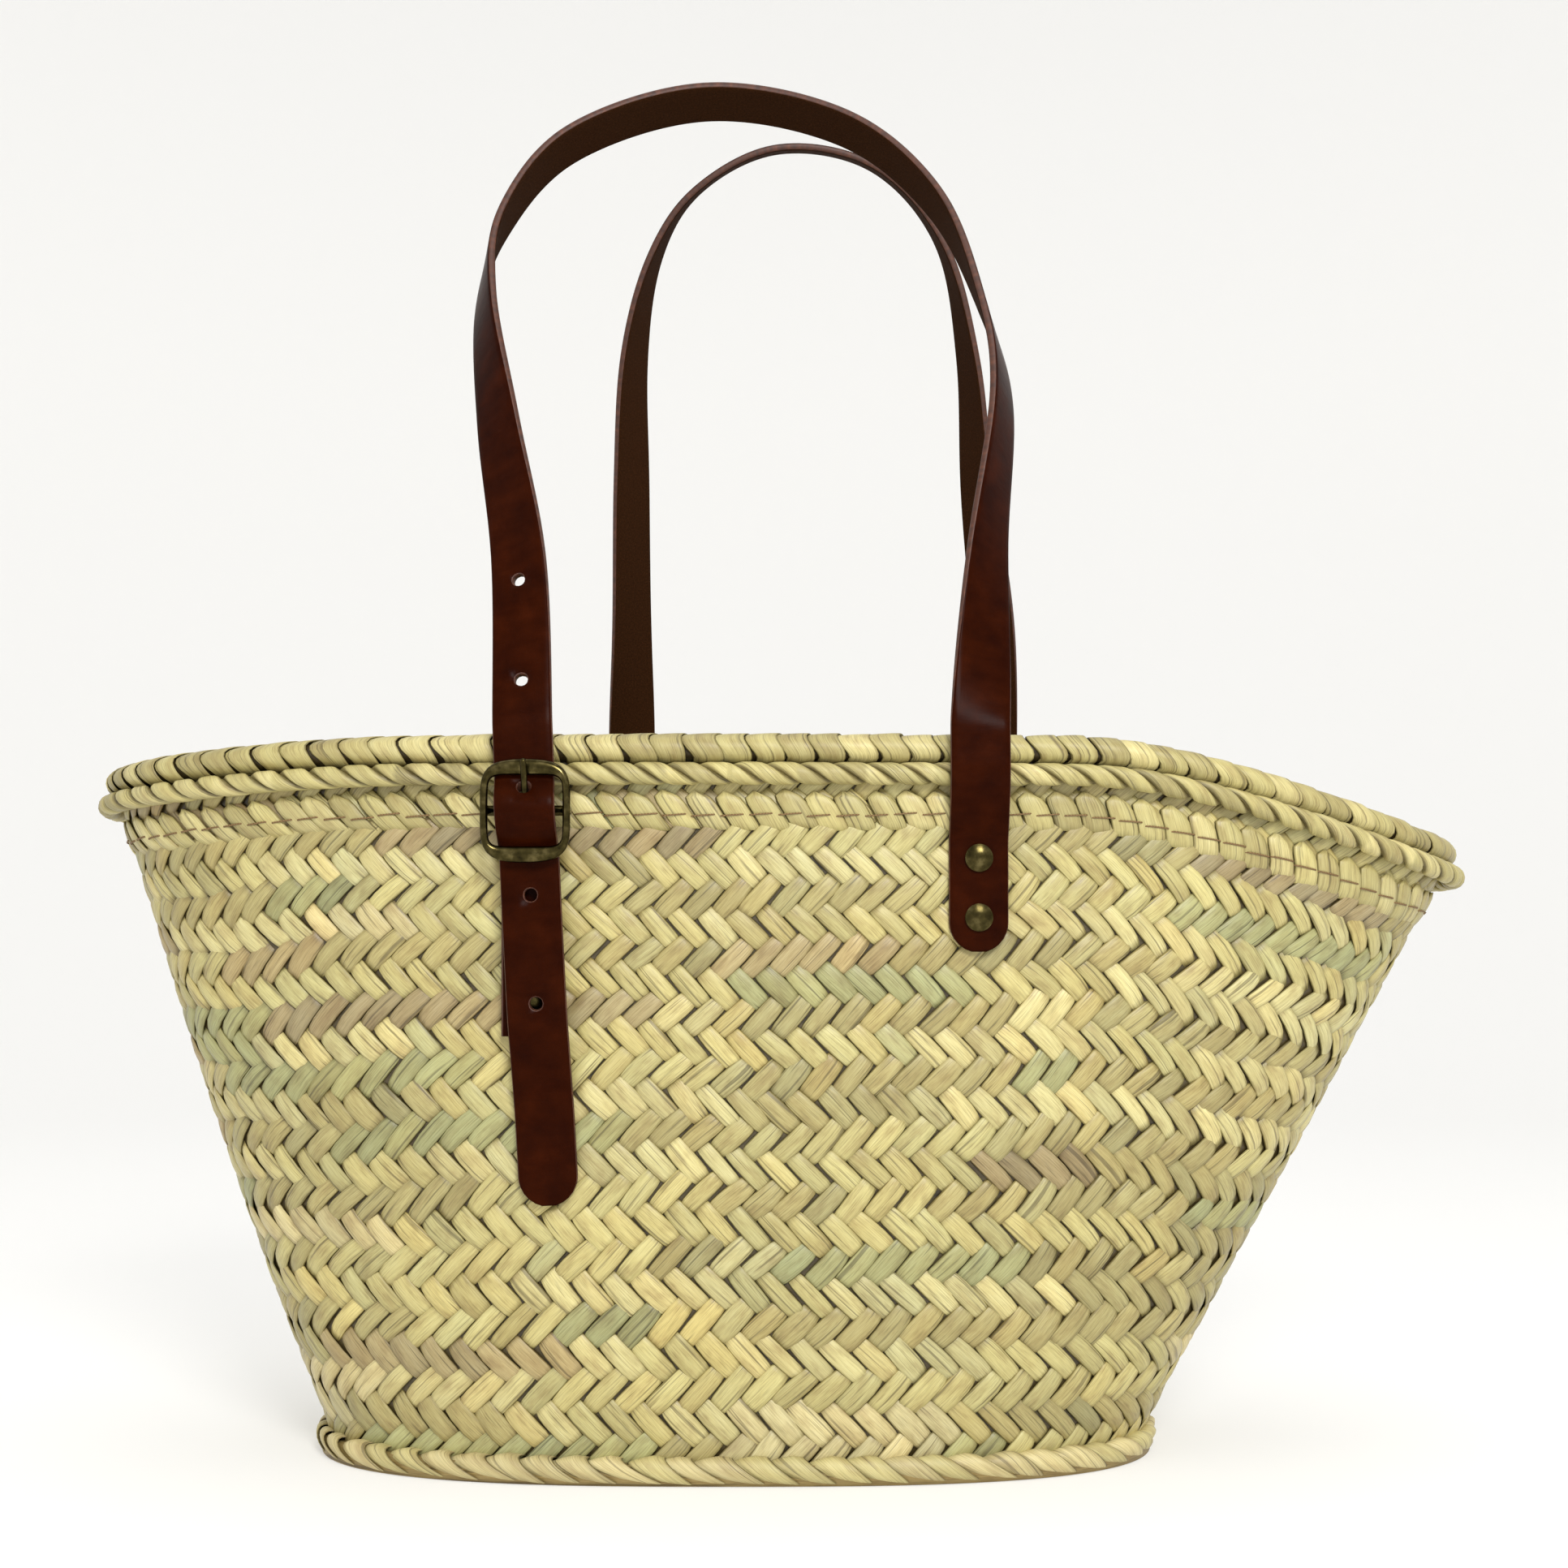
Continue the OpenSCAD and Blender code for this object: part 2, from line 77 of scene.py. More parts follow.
WALL_LOW, WALL_HIGH = corners("basket_wall")
FLOOR_LOW, FLOOR_HIGH = corners("basket_floor")
WALL_T = 3.0
FLOOR_T = FLOOR_HIGH[2]
BASE_L, BASE_W = FLOOR_HIGH[0] - FLOOR_LOW[0], FLOOR_HIGH[1] - FLOOR_LOW[1]
MOUTH_L, MOUTH_W = WALL_HIGH[0] - WALL_LOW[0], WALL_HIGH[1] - WALL_LOW[1]
MOUTH_SHIFT = (WALL_HIGH[0] + WALL_LOW[0]) / 2
SHIFT_POWER = 1.3           # the set-over grows with t to this power
WALL_H = WALL_HIGH[2]
ROLL_H = corners("rim_roll")[1][2] - WALL_H
HEM_H = corners("base_hem")[1][2]
CORD_D = 8.0
CORD_DROP = 3.2             # the cord's middle under the wall's top edge
DROP_RIGHT, DROP_LEFT = 32.0, 6.0   # how far the rim sinks at +X and at -X
DROP_FROM = 0.42            # cosine of the angle where it starts to sink
BELLY = 2.0                 # how far the wall bellies out at half height
BASE_SQUARE, MOUTH_SQUARE = 2.8, 2.6    # exponents of the outline at the base and the mouth


def ease(x):
    """Smooth step: 0 below 0, 1 above 1, 3x^2 - 2x^3 between."""
    x = np.clip(x, 0.0, 1.0)
    return x * x * (3 - 2 * x)


def rim_height(u):
    """Height of the wall's top edge, which sinks towards both ends by a smooth step of cos u."""
    c = np.cos(np.radians(u))
    return (WALL_H - DROP_RIGHT * ease((c - DROP_FROM) / (1 - DROP_FROM))
            - DROP_LEFT * ease((-c - DROP_FROM) / (1 - DROP_FROM)))


def half_size(base, mouth, t):
    """Half length or width at t: a straight line from base to mouth, and a sine for the belly."""
    return (base + (mouth - base) * t) / 2 + BELLY * np.sin(np.pi * t)


def body_point(u, t, q=0.0, lift=0.0):
    """Point of the body: a superellipse whose half axes grow with t, shifted along X by cos u."""
    u, t, q, lift = np.broadcast_arrays(*[np.asarray(a, float) for a in (u, t, q, lift)])
    a = np.radians(u)
    ts = np.clip(t, 0.0, 1.0)
    n = BASE_SQUARE + (MOUTH_SQUARE - BASE_SQUARE) * ts
    k = (np.abs(np.cos(a)) ** n + np.abs(np.sin(a)) ** n) ** (-1 / n)
    shift = MOUTH_SHIFT * ts ** SHIFT_POWER * np.cos(a)
    x = (half_size(BASE_L, MOUTH_L, ts) + q + shift) * k * np.cos(a)
    y = (half_size(BASE_W, MOUTH_W, ts) + q) * k * np.sin(a)
    z = FLOOR_T + (rim_height(u) - FLOOR_T) * t + lift
    return np.stack([x, y, z], -1)


def face_y(x, z):
    """Half width of the body at x and height z, near the middle of a long side."""
    t = np.clip((np.asarray(z, float) - FLOOR_T) / (WALL_H - FLOOR_T), 0, 1)
    half = half_size(BASE_L, MOUTH_L, t)
    a = half + MOUTH_SHIFT * t ** SHIFT_POWER * x / half
    n = BASE_SQUARE + (MOUTH_SQUARE - BASE_SQUARE) * t
    return half_size(BASE_W, MOUTH_W, t) * (1 - (np.abs(x) / a) ** n) ** (1 / n)


# ---------------------------------------------------------------- colours and materials
# Patterns on strips, leather and thread read the piece's own UV map "leaf", which is in
# millimetres along and across it, so a noise of scale 2 has grains half a millimetre across.

def linear(hex_colour):
    """Linear RGBA of an sRGB hex colour."""
    c = [int(hex_colour[i:i + 2], 16) / 255 for i in (1, 3, 5)]
    return [v / 12.92 if v <= 0.04045 else ((v + 0.055) / 1.055) ** 2.4 for v in c] + [1.0]


def feed(node, inputs):
    """Sets a node's inputs, given by name or number, to values or links them to outputs."""
    for key, value in inputs.items():
        if isinstance(value, bpy.types.NodeSocket):
            node.id_data.links.new(value, node.inputs[key])
        else:
            node.inputs[key].default_value = value


def add(tree, kind, inputs=(), output=0, stops=(), **settings):
    """Adds a node and gives one of its outputs. stops are a ramp's (place, hex colour) pairs."""
    node = tree.nodes.new(kind)
    for key, value in settings.items():
        setattr(node, key, value)
    for _ in stops[2:]:
        node.color_ramp.elements.new(0.5)
    for element, (place, colour) in zip(node.color_ramp.elements if stops else (), stops):
        element.position = place
        element.color = linear(colour)
    feed(node, dict(inputs))
    return node.outputs[output]


def new_material(name, plain):
    """Node material with a Principled shader, and its plain colour for solid views."""
    mat = bpy.data.materials.new(name)
    mat.use_nodes = True
    mat.diffuse_color = linear(plain)
    return mat, mat.node_tree, mat.node_tree.nodes["Principled BSDF"]


def palm_leaf(name, gloss=0.36, plain="#c9c08a"):
    """Dried, split palm leaf: satin, with fibres 0.4 mm wide that run along it, darker veins
    1.3 mm apart, and faint stains 5 by 10 mm. Each leaf's own tint, with the shade painted into it, comes
    from its points."""
    mat, tree, shader = new_material(name, plain)
    grid = add(tree, "ShaderNodeUVMap", uv_map="leaf")
    colour = add(tree, "ShaderNodeAttribute", attribute_name="tint")
    fields = []
    for scale, detail, rough, share, stops in (
            ((0.10, 2.6, 1.0), 5.0, 0.62, 0.75, [(0.30, "#a59b84"), (0.52, "#ebe7da"), (0.72, "#ffffff")]),
            ((0.02, 0.75, 1.0), 2.0, 0.5, 0.60, [(0.34, "#6d5f44"), (0.40, "#f4f0e6"), (1.0, "#ffffff")]),
            ((0.10, 0.22, 1.0), 3.0, 0.5, 0.55, [(0.28, "#b79f7a"), (0.50, "#f2ecdc"), (0.78, "#ffffff")])):
        place = add(tree, "ShaderNodeMapping", {"Vector": grid, "Scale": scale})
        noise = add(tree, "ShaderNodeTexNoise",
                    {"Vector": place, "Scale": 1.0, "Detail": detail, "Roughness": rough})
        tone = add(tree, "ShaderNodeValToRGB", {"Fac": noise}, stops=stops)
        colour = add(tree, "ShaderNodeMix", {0: share, 6: colour, 7: tone}, output=2,
                     data_type="RGBA", blend_type="MULTIPLY")
        fields.append(noise)
    fibre, vein, stain = fields
    rough = add(tree, "ShaderNodeMapRange",
                {"Value": stain, "To Min": gloss - 0.08, "To Max": gloss + 0.22})
    relief = add(tree, "ShaderNodeMath", {0: fibre, 1: vein}, operation="ADD")
    bump = add(tree, "ShaderNodeBump", {"Height": relief, "Strength": 0.8, "Distance": 0.00012})
    feed(shader, {"Base Color": colour, "Roughness": rough, "Normal": bump})
    return mat


def leather_grain(name):
    """Grain side of vegetable-tanned leather, dyed brown and waxed: pebbles 0.5 mm across, soft
    creases 6 mm apart, clouds of dye 11 mm across, and a low sheen."""
    mat, tree, shader = new_material(name, "#471c10")
    place = add(tree, "ShaderNodeUVMap", uv_map="leaf")
    pebble = add(tree, "ShaderNodeTexVoronoi", {"Vector": place, "Scale": 2.1})
    crease_grid = add(tree, "ShaderNodeMapping", {"Vector": place, "Scale": (0.16, 0.05, 1.0)})
    crease = add(tree, "ShaderNodeTexNoise",
                 {"Vector": crease_grid, "Scale": 1.0, "Detail": 5.0, "Roughness": 0.6})
    cloud = add(tree, "ShaderNodeTexNoise", {"Vector": place, "Scale": 0.09, "Detail": 4.0})
    dye = add(tree, "ShaderNodeValToRGB", {"Fac": cloud},
              stops=[(0.30, "#210802"), (0.55, "#2a0c02"), (0.80, "#341103")])
    tone = add(tree, "ShaderNodeValToRGB", {"Fac": crease}, stops=[(0.35, "#c9b8b0"), (0.55, "#ffffff")])
    colour = add(tree, "ShaderNodeMix", {0: 0.5, 6: dye, 7: tone}, output=2,
                 data_type="RGBA", blend_type="MULTIPLY")
    rough = add(tree, "ShaderNodeMapRange", {"Value": cloud, "To Min": 0.24, "To Max": 0.38})
    fine = add(tree, "ShaderNodeBump", {"Height": pebble, "Strength": 0.12, "Distance": 0.0001})
    broad = add(tree, "ShaderNodeBump",
                {"Height": crease, "Normal": fine, "Strength": 0.28, "Distance": 0.0006})
    feed(shader, {"Base Color": colour, "Roughness": rough, "Normal": broad,
                  "Specular IOR Level": 0.015, "Coat Weight": 0.01, "Coat Roughness": 0.22})
    return mat


def leather_flesh(name):
    """Flesh side of the leather: dull, a rough nap with fibres 0.7 mm long."""
    mat, tree, shader = new_material(name, "#5a3a26")
    place = add(tree, "ShaderNodeUVMap", uv_map="leaf")
    nap = add(tree, "ShaderNodeTexNoise", {"Vector": place, "Scale": 1.4, "Detail": 6.0, "Roughness": 0.7})
    colour = add(tree, "ShaderNodeValToRGB", {"Fac": nap},
                 stops=[(0.30, "#1e0f05"), (0.55, "#311b0b"), (0.80, "#442813")])
    bump = add(tree, "ShaderNodeBump", {"Height": nap, "Strength": 0.6, "Distance": 0.0004})
    feed(shader, {"Base Color": colour, "Roughness": 0.85, "Specular IOR Level": 0.03, "Normal": bump})
    return mat


def leather_edge(name):
    """Cut edge of the leather: lighter than the grain, in layers 0.4 mm thick along the strap."""
    mat, tree, shader = new_material(name, "#75452c")
    place = add(tree, "ShaderNodeUVMap", uv_map="leaf")
    layers = add(tree, "ShaderNodeMapping", {"Vector": place, "Scale": (0.4, 2.5, 1.0)})
    fibre = add(tree, "ShaderNodeTexNoise", {"Vector": layers, "Scale": 1.0, "Detail": 4.0})
    colour = add(tree, "ShaderNodeValToRGB", {"Fac": fibre},
                 stops=[(0.30, "#2c1409"), (0.55, "#482413"), (0.80, "#643720")])
    bump = add(tree, "ShaderNodeBump", {"Height": fibre, "Strength": 0.5, "Distance": 0.0003})
    feed(shader, {"Base Color": colour, "Roughness": 0.55, "Normal": bump})
    return mat


def antique_brass(name):
    """Antiqued cast brass: browned in patches 3 mm across, rubbed brighter and smoother between
    them, with scratches 0.4 mm apart. It reads object coordinates, in metres."""
    mat, tree, shader = new_material(name, "#86764f")
    place = add(tree, "ShaderNodeTexCoord", output="Object")
    patch = add(tree, "ShaderNodeTexNoise", {"Vector": place, "Scale": 330.0, "Detail": 5.0})
    scratch_grid = add(tree, "ShaderNodeMapping", {"Vector": place, "Scale": (300.0, 300.0, 2600.0)})
    scratch = add(tree, "ShaderNodeTexNoise", {"Vector": scratch_grid, "Scale": 1.0, "Detail": 3.0})
    colour = add(tree, "ShaderNodeValToRGB", {"Fac": patch},
                 stops=[(0.25, "#241f10"), (0.52, "#40391f"), (0.80, "#6e6340")])
    rough = add(tree, "ShaderNodeMapRange", {"Value": patch, "To Min": 0.30, "To Max": 0.15})
    bump = add(tree, "ShaderNodeBump", {"Height": scratch, "Strength": 0.12, "Distance": 0.0001})
    feed(shader, {"Base Color": colour, "Metallic": 1.0, "Roughness": rough, "Normal": bump})
    return mat


def waxed_thread(name):
    """Waxed linen thread: dull brown, with twisted plies 0.7 mm apart."""
    mat, tree, shader = new_material(name, "#c8aa7c")
    place = add(tree, "ShaderNodeUVMap", uv_map="leaf")
    ply = add(tree, "ShaderNodeTexWave", {"Vector": place, "Scale": 0.6, "Distortion": 1.5},
              output="Fac", bands_direction="DIAGONAL")
    colour = add(tree, "ShaderNodeValToRGB", {"Fac": ply}, stops=[(0.0, "#5c4426"), (1.0, "#8d6f45")])
    bump = add(tree, "ShaderNodeBump", {"Height": ply, "Strength": 0.5, "Distance": 0.0002})
    feed(shader, {"Base Color": colour, "Roughness": 0.7, "Normal": bump})
    return mat


PALM = palm_leaf("palm_leaf_plait")
PALM_RIM = palm_leaf("palm_leaf_rim", gloss=0.40, plain="#c4be84")
PALM_PALE = palm_leaf("palm_leaf_hem", gloss=0.46, plain="#d9cc9b")
GRAIN = leather_grain("leather_grain_side")
FLESH = leather_flesh("leather_flesh_side")
EDGE = leather_edge("leather_cut_edge")
BRASS = antique_brass("antique_brass")
THREAD = waxed_thread("waxed_thread")
STRAP_FACES = [GRAIN, FLESH, EDGE]      # a face's slot number counts in this order
ON_GRAIN, ON_FLESH, ON_EDGE = 0, 1, 2


# ---------------------------------------------------------------- mesh helpers

def piece(name, points, faces, materials, uv=None, tint=None, slots=None,
          body="basket", smooth=True):
    """Object from points in millimetres and a list of face index arrays. uv and tint are per
    point, slots per face."""
    points = np.asarray(points, float).reshape(-1, 3)
    totals = np.concatenate([np.full(len(f), f.shape[1]) for f in faces])
    loops = np.concatenate([f.reshape(-1) for f in faces]).astype(np.int32)
    mesh = bpy.data.meshes.new(name)
    mesh.vertices.add(len(points))
    mesh.vertices.foreach_set("co", (points / MM).astype(np.float32).ravel())
    mesh.loops.add(len(loops))
    mesh.loops.foreach_set("vertex_index", loops)
    mesh.polygons.add(len(totals))
    starts = np.concatenate([[0], np.cumsum(totals)[:-1]]).astype(np.int32)
    mesh.polygons.foreach_set("loop_start", starts)
    if slots is not None:
        mesh.polygons.foreach_set("material_index", np.asarray(slots, np.int32))
    mesh.polygons.foreach_set("use_smooth", np.full(len(totals), smooth))
    if uv is not None:
        layer = mesh.uv_layers.new(name="leaf")
        layer.data.foreach_set("uv", np.asarray(uv, np.float32).reshape(-1, 2)[loops].ravel())
    if tint is not None:
        layer = mesh.color_attributes.new(name="tint", type="FLOAT_COLOR", domain="POINT")
        layer.data.foreach_set("color", np.asarray(tint, np.float32).reshape(-1, 4).ravel())
    mesh.update(calc_edges=True)
    mesh.validate()
    shape = bmesh.new()
    shape.from_mesh(mesh)
    bmesh.ops.recalc_face_normals(shape, faces=shape.faces)
    shape.to_mesh(mesh)
    shape.free()
    for material in materials:
        mesh.materials.append(material)
    obj = bpy.data.objects.new(name, mesh)
    bpy.context.scene.collection.objects.link(obj)
    if body:
        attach(obj, body)
    return obj


def sausage_faces(count, stations, ring, closed=False):
    """Faces of count tubes, each of stations rings of ring points; caps unless closed."""
    base = (np.arange(count) * stations * ring)[:, None, None]
    last = stations if closed else stations - 1
    i = np.arange(last)[:, None]
    j = np.arange(ring)[None, :]
    nxt = (i + 1) % stations
    quad = np.stack([i * ring + j, i * ring + (j + 1) % ring,
                     nxt * ring + (j + 1) % ring, nxt * ring + j], -1).reshape(-1, 4)
    faces = [(base + quad[None]).reshape(-1, 4)]
    if not closed:
        start = np.arange(ring)[::-1]
        end = (stations - 1) * ring + np.arange(ring)
        faces.append((base[:, :, 0] + start[None]).reshape(-1, ring))
        faces.append((base[:, :, 0] + end[None]).reshape(-1, ring))
    return faces


def strip_points(stations, ring):
    """Grids for many strips at once: a along each strip, b across and h above its section."""
    b, h = np.array(ring).T
    return stations[None, :, None], b[None, None, :], h[None, None, :]


def each(values):
    """One value per strip, shaped to spread over the strip's grid."""
    return np.asarray(values)[:, None, None]


def leaf_grid(count, along, across, skip):
    """Leaf UVs in millimetres. Each strip starts at its own chance place on the pattern, so no
    two look alike: u = start + along, v = skip * start + across."""
    start = rng.uniform(0, 400, (count, 1, 1))
    return np.stack(np.broadcast_arrays(start + along, start * skip + across), -1).reshape(-1, 2)


# ---------------------------------------------------------------- the wall's own grid

LEVELS = 48                 # heights at which the way round is measured
SHARES = 300                # shares of the way at which the angle is kept


def perimeter_tables():
    """For each long side half (+X and -X): the angle u at a share of the way from the middle of
    the front to the end, at LEVELS heights, and the length of that way."""
    tables = {}
    t = np.linspace(0, 1, LEVELS)
    for name, u_end in (("right", 360.0), ("left", 180.0)):
        u = np.linspace(270.0, u_end, 721)
        pts = body_point(u[None], t[:, None])
        step = np.linalg.norm(np.diff(pts, axis=1), axis=2)
        way = np.concatenate([np.zeros((LEVELS, 1)), np.cumsum(step, 1)], 1)
        share = np.linspace(0, 1, SHARES)
        angle = np.stack([np.interp(share * way[k, -1], way[k], u) for k in range(LEVELS)])
        tables[name] = (angle, way[:, -1])
    return tables


TABLES = perimeter_tables()


def quarter_length(side, t):
    """Length of the way from the middle of the front to the side's end, at t."""
    return np.interp(np.clip(t, 0, 1), np.linspace(0, 1, LEVELS), TABLES[side][1])


def quarter_angle(side, t, share):
    """Angle u on the front at a share of the way to the side's end, by bilinear lookup."""
    angle = TABLES[side][0]
    a = np.clip(t, 0, 1) * (LEVELS - 1)
    b = np.clip(share, 0, 1) * (SHARES - 1)
    i, j = np.minimum(a.astype(int), LEVELS - 2), np.minimum(b.astype(int), SHARES - 2)
    fa, fb = a - i, b - j
    low = angle[i, j] * (1 - fb) + angle[i, j + 1] * fb
    high = angle[i + 1, j] * (1 - fb) + angle[i + 1, j + 1] * fb
    return low * (1 - fa) + high * fa


# ---------------------------------------------------------------- plait
# Rows of leaves that each pass over two others, in turn leaning right and left

ROWS = 23
PITCH_LOW, PITCH_HIGH = 10.9, 9.6   # sideways pitch of the leaves at the base and the rim
EVEN_COUNT = 13             # leaves to each side of the middle where the plait is quite even
SQUEEZE = 0.09              # how much lower than the average the rows get towards the rim
# How the rows wander: (size in rows, waves round the body, phase, phase added up the wall)
WANDER = [(0.16, 5, 1.3, 4), (0.12, 13, 0.0, 7)]


def row_share(row):
    """Share of the height of the middle of a row; rows get lower towards the rim."""
    x = (np.asarray(row, float) + 0.5) / ROWS
    return x * (1 + SQUEEZE - SQUEEZE * x)


def pitch(t):
    """Sideways pitch of the leaves at t."""
    return PITCH_LOW + (PITCH_HIGH - PITCH_LOW) * np.clip(t, 0, 1)


def row_counts(row):
    """Leaves from the middle of the front to the right end and to the left end."""
    t = row_share(row)
    even = EVEN_COUNT * pitch(t)
    return [EVEN_COUNT + max(1, int(round((quarter_length(side, t) - even) / pitch(t))))
            for side in ("right", "left")]


def plait_place(row, across, up, q):
    """Point of the plait: across counts leaves round the body from the middle of the front,
    up counts rows. Even pitch near the middle, stretched to fit beyond EVEN_COUNT leaves.
    The rows wander up and down by a sum of sines round the body, as hand work does, most at
    half height and not at all at the base and the rim."""
    right, left = row_counts(row)
    total = 2 * (right + left)
    x = np.mod(across, total)
    round_way = 2 * np.pi * x / total
    level = row_share(row + up)
    wave = sum(size * np.sin(waves * round_way + phase + climb * level)
               for size, waves, phase, climb in WANDER)
    t = np.clip(row_share(row + up + wave * 4 * level * (1 - level)), 0.0, 1.0)
    on_right = x < 2 * right
    along = np.where(on_right, x, total - x)          # 0 at the front's middle, count at the end
    count = np.where(on_right, right, left)
    back = along > count
    along = np.where(back, 2 * count - along, along)
    length = np.where(on_right, quarter_length("right", t), quarter_length("left", t))
    even = EVEN_COUNT * pitch(t)
    stretched = even + (along - EVEN_COUNT) * (length - even) / np.maximum(count - EVEN_COUNT, 1)
    share = np.where(along < EVEN_COUNT, along * pitch(t), stretched) / length
    u = np.where(on_right, quarter_angle("right", t, share), quarter_angle("left", t, share))
    return body_point(np.where(back, -u, u), t, q)


LEAF_TINTS = {
    "straw": "#cac38d", "light": "#d4cd9a", "olive": "#b6ae7d", "green": "#adb083",
    "tan": "#b6a87f", "mauve": "#a99c79", "cream": "#d6cda1"}
# Share of each tint in the rows that lean right, which are greener, and in those that lean left
RISING_MIX = {"straw": 0.24, "light": 0.10, "olive": 0.44, "green": 0.10, "tan": 0.07,
              "mauve": 0.04, "cream": 0.01}
FALLING_MIX = {"straw": 0.42, "light": 0.34, "olive": 0.12, "green": 0.03, "tan": 0.04,
               "mauve": 0.01, "cream": 0.04}
PALE_ROWS, PALER = 3, 0.25  # the lowest rows get this much more of cream and of straw
SHADE_TONE = np.array([1.0, 1.08, 1.3])     # shaded leaf loses blue first, so it looks browner


def painted_crease_shade(tints, stations, ring, depth=0.46):
    """Tint per point of each strip, with painted shade: darker by depth at its two edges, from |b| = 0.82,
    under it, and at its ends, from |a| = 0.7, where it meets and goes under the leaves beside it."""
    b, h = np.array(ring).T[:, None, :]
    edge = np.maximum(ease((np.abs(b) - 0.82) / 0.18) * 0.8, h < -0.5)
    end = ease((np.abs(np.asarray(stations))[:, None] - 0.7) / 0.3)
    # painted shade in the creases at the strip's edges, underside and ends
    shade = 1 - depth * np.maximum(edge, end)
    out = tints[:, None, None, :] * np.ones(shade.shape + (1,))[None]
    out[..., :3] *= shade[None, ..., None] ** SHADE_TONE
    return out.reshape(-1, 4)


def leaf_tints(row, count, rising):
    """One colour per leaf of a row: runs of 2 to 10 leaves share a tint, as they come from one
    frond, then each leaf varies in shade and in warmth."""
    shares = RISING_MIX if rising else FALLING_MIX
    names = list(shares)
    weights = np.array([shares[n] for n in names])
    if row < PALE_ROWS:
        weights[names.index("cream")] += PALER
        weights[names.index("straw")] += PALER
    weights = weights / weights.sum()
    out = np.zeros((count, 4))
    k = 0
    while k < count:
        run = int(rng.integers(2, 11))
        out[k:k + run] = np.array(linear(LEAF_TINTS[names[rng.choice(len(names), p=weights)]]))
        k += run
    shade = rng.normal(1.0, 0.085, (count, 1))
    warm = rng.normal(0.0, 0.03, (count, 1))
    out[:, :3] = out[:, :3] * shade * (1 + warm * np.array([[1.0, 0.2, -1.0]]))
    return np.clip(out, 0, 1)


# Sections of a leaf: (b, height above its edges in mm), full outside and lighter inside
LEAF_RING = [(-1.0, -0.35), (-0.86, 0.12), (-0.3, 0.48), (0.5, 0.42), (0.9, 0.05), (1.0, -0.35),
             (0.0, -0.9)]
INNER_RING = [(-1.0, -0.05), (-0.5, 0.3), (0.5, 0.3), (1.0, -0.05), (0.0, -0.6)]
LEAF_STATIONS, INNER_STATIONS = 7, 5
REACH = 0.64                # half length of a leaf over two, in pitches, with its tucked ends
HALF_WIDE = 0.248           # half width of a leaf, in pitches
FULL_WIDE = 3.7             # and in millimetres, for the leaf grid
SLANT = 1.41                # a leaf lies at 45 degrees to the rows


def plait_layer(name, rows, rising, outside, count_along=LEAF_STATIONS, ring=LEAF_RING):
    """All the leaves of one lean: each a crowned strip that goes under at both ends. Its height
    follows 1 - 2.9 * ease((|a| - 0.42) / 0.58) along it, and its ends narrow by 0.20 |a|^4."""
    points, uvs, tints = [], [], []
    stations = np.linspace(-1, 1, count_along)
    lean = 1.0 if rising else -1.0
    for row in rows:
        count = 2 * sum(row_counts(row))
        a, b, h = strip_points(stations, ring)
        centre = np.arange(count) + (0.0 if row % 2 == 0 else 0.5)
        stray = rng.normal(0, 0.022, (count, 2))
        wide = each(HALF_WIDE * rng.normal(1.0, 0.05, count)) * (1 - 0.20 * np.abs(a) ** 4)
        turn = each(rng.normal(0, 0.035, count))
        tilt = each(rng.normal(0, 0.13, count))
        raised = each(rng.normal(0, 0.10, count))
        across = each(centre) + each(stray[:, 0]) + (REACH * a * lean + wide * b) + turn * a
        up = REACH * a - lean * wide * b + each(stray[:, 1]) + turn * b * 0.3
        lie = 1 - 2.9 * ease((np.abs(a) - 0.42) / 0.58)
        height = 0.42 * lie - 0.1 + h + tilt * b + raised
        if not outside:
            height = -WALL_T - height
        points.append(plait_place(row, across, up, height).reshape(-1, 3))
        length = 2 * REACH * pitch(row_share(row)) * SLANT
        uvs.append(leaf_grid(count, a * length / 2, b * FULL_WIDE, 3.1))
        tints.append(painted_crease_shade(leaf_tints(row, count, rising), stations, ring))
    points = np.concatenate(points)
    shapes = len(points) // (count_along * len(ring))
    return piece(name, points, sausage_faces(shapes, count_along, len(ring)), [PALM],
                 uv=np.concatenate(uvs), tint=np.concatenate(tints))


AROUND = np.linspace(0, 360, 240, endpoint=False)
CORE_SHADE_TINT = "#4c4226"       # leaf in deep shade
CORE_IN = 0.9               # how far the dark skin lies under the faces of the wall and floor


def ring_section_piece(name, sections, material, tint):
    """Closed ring round the body from (t, q, lift) section points; leaf grid along the ring."""
    n, m = len(AROUND), len(sections)
    t, q, lift = np.array(sections).T[:, None, :]
    pts = body_point(AROUND[:, None], t, q, lift)
    uv = np.stack(np.broadcast_arrays(np.linspace(0, 1200, n)[:, None], np.arange(m)[None] * 3.0), -1)
    return piece(name, pts, sausage_faces(1, n, m, closed=True), [material], uv=uv,
                 tint=np.tile(linear(tint), (n * m, 1)))


def wall_core():
    """The leaves that pass behind, seen as a dark skin between the outer and the inner leaves,
    whose dark tint is painted shade. It reaches 3 mm up into the roll."""
    ts = np.linspace(0, 1, 22)
    outer, inner = -CORE_IN, CORE_IN - WALL_T
    section = [(t, outer, 0.0) for t in ts] + [(1.0, outer, 3.0), (1.0, inner, 3.0)]
    section += [(t, inner, 0.0) for t in ts[::-1]]
    return ring_section_piece("wall_core", section, PALM, CORE_SHADE_TINT)


EVEN_ROWS, ODD_ROWS = range(0, ROWS, 2), range(1, ROWS, 2)
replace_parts(wall_core(), "basket_wall")
plait_layer("plait_leaning_right", EVEN_ROWS, True, True)
plait_layer("plait_leaning_left", ODD_ROWS, False, True)
plait_layer("inside_plait_leaning_right", ODD_ROWS, True, False, INNER_STATIONS, INNER_RING)
plait_layer("inside_plait_leaning_left", EVEN_ROWS, False, False, INNER_STATIONS, INNER_RING)


# ---------------------------------------------------------------- floor

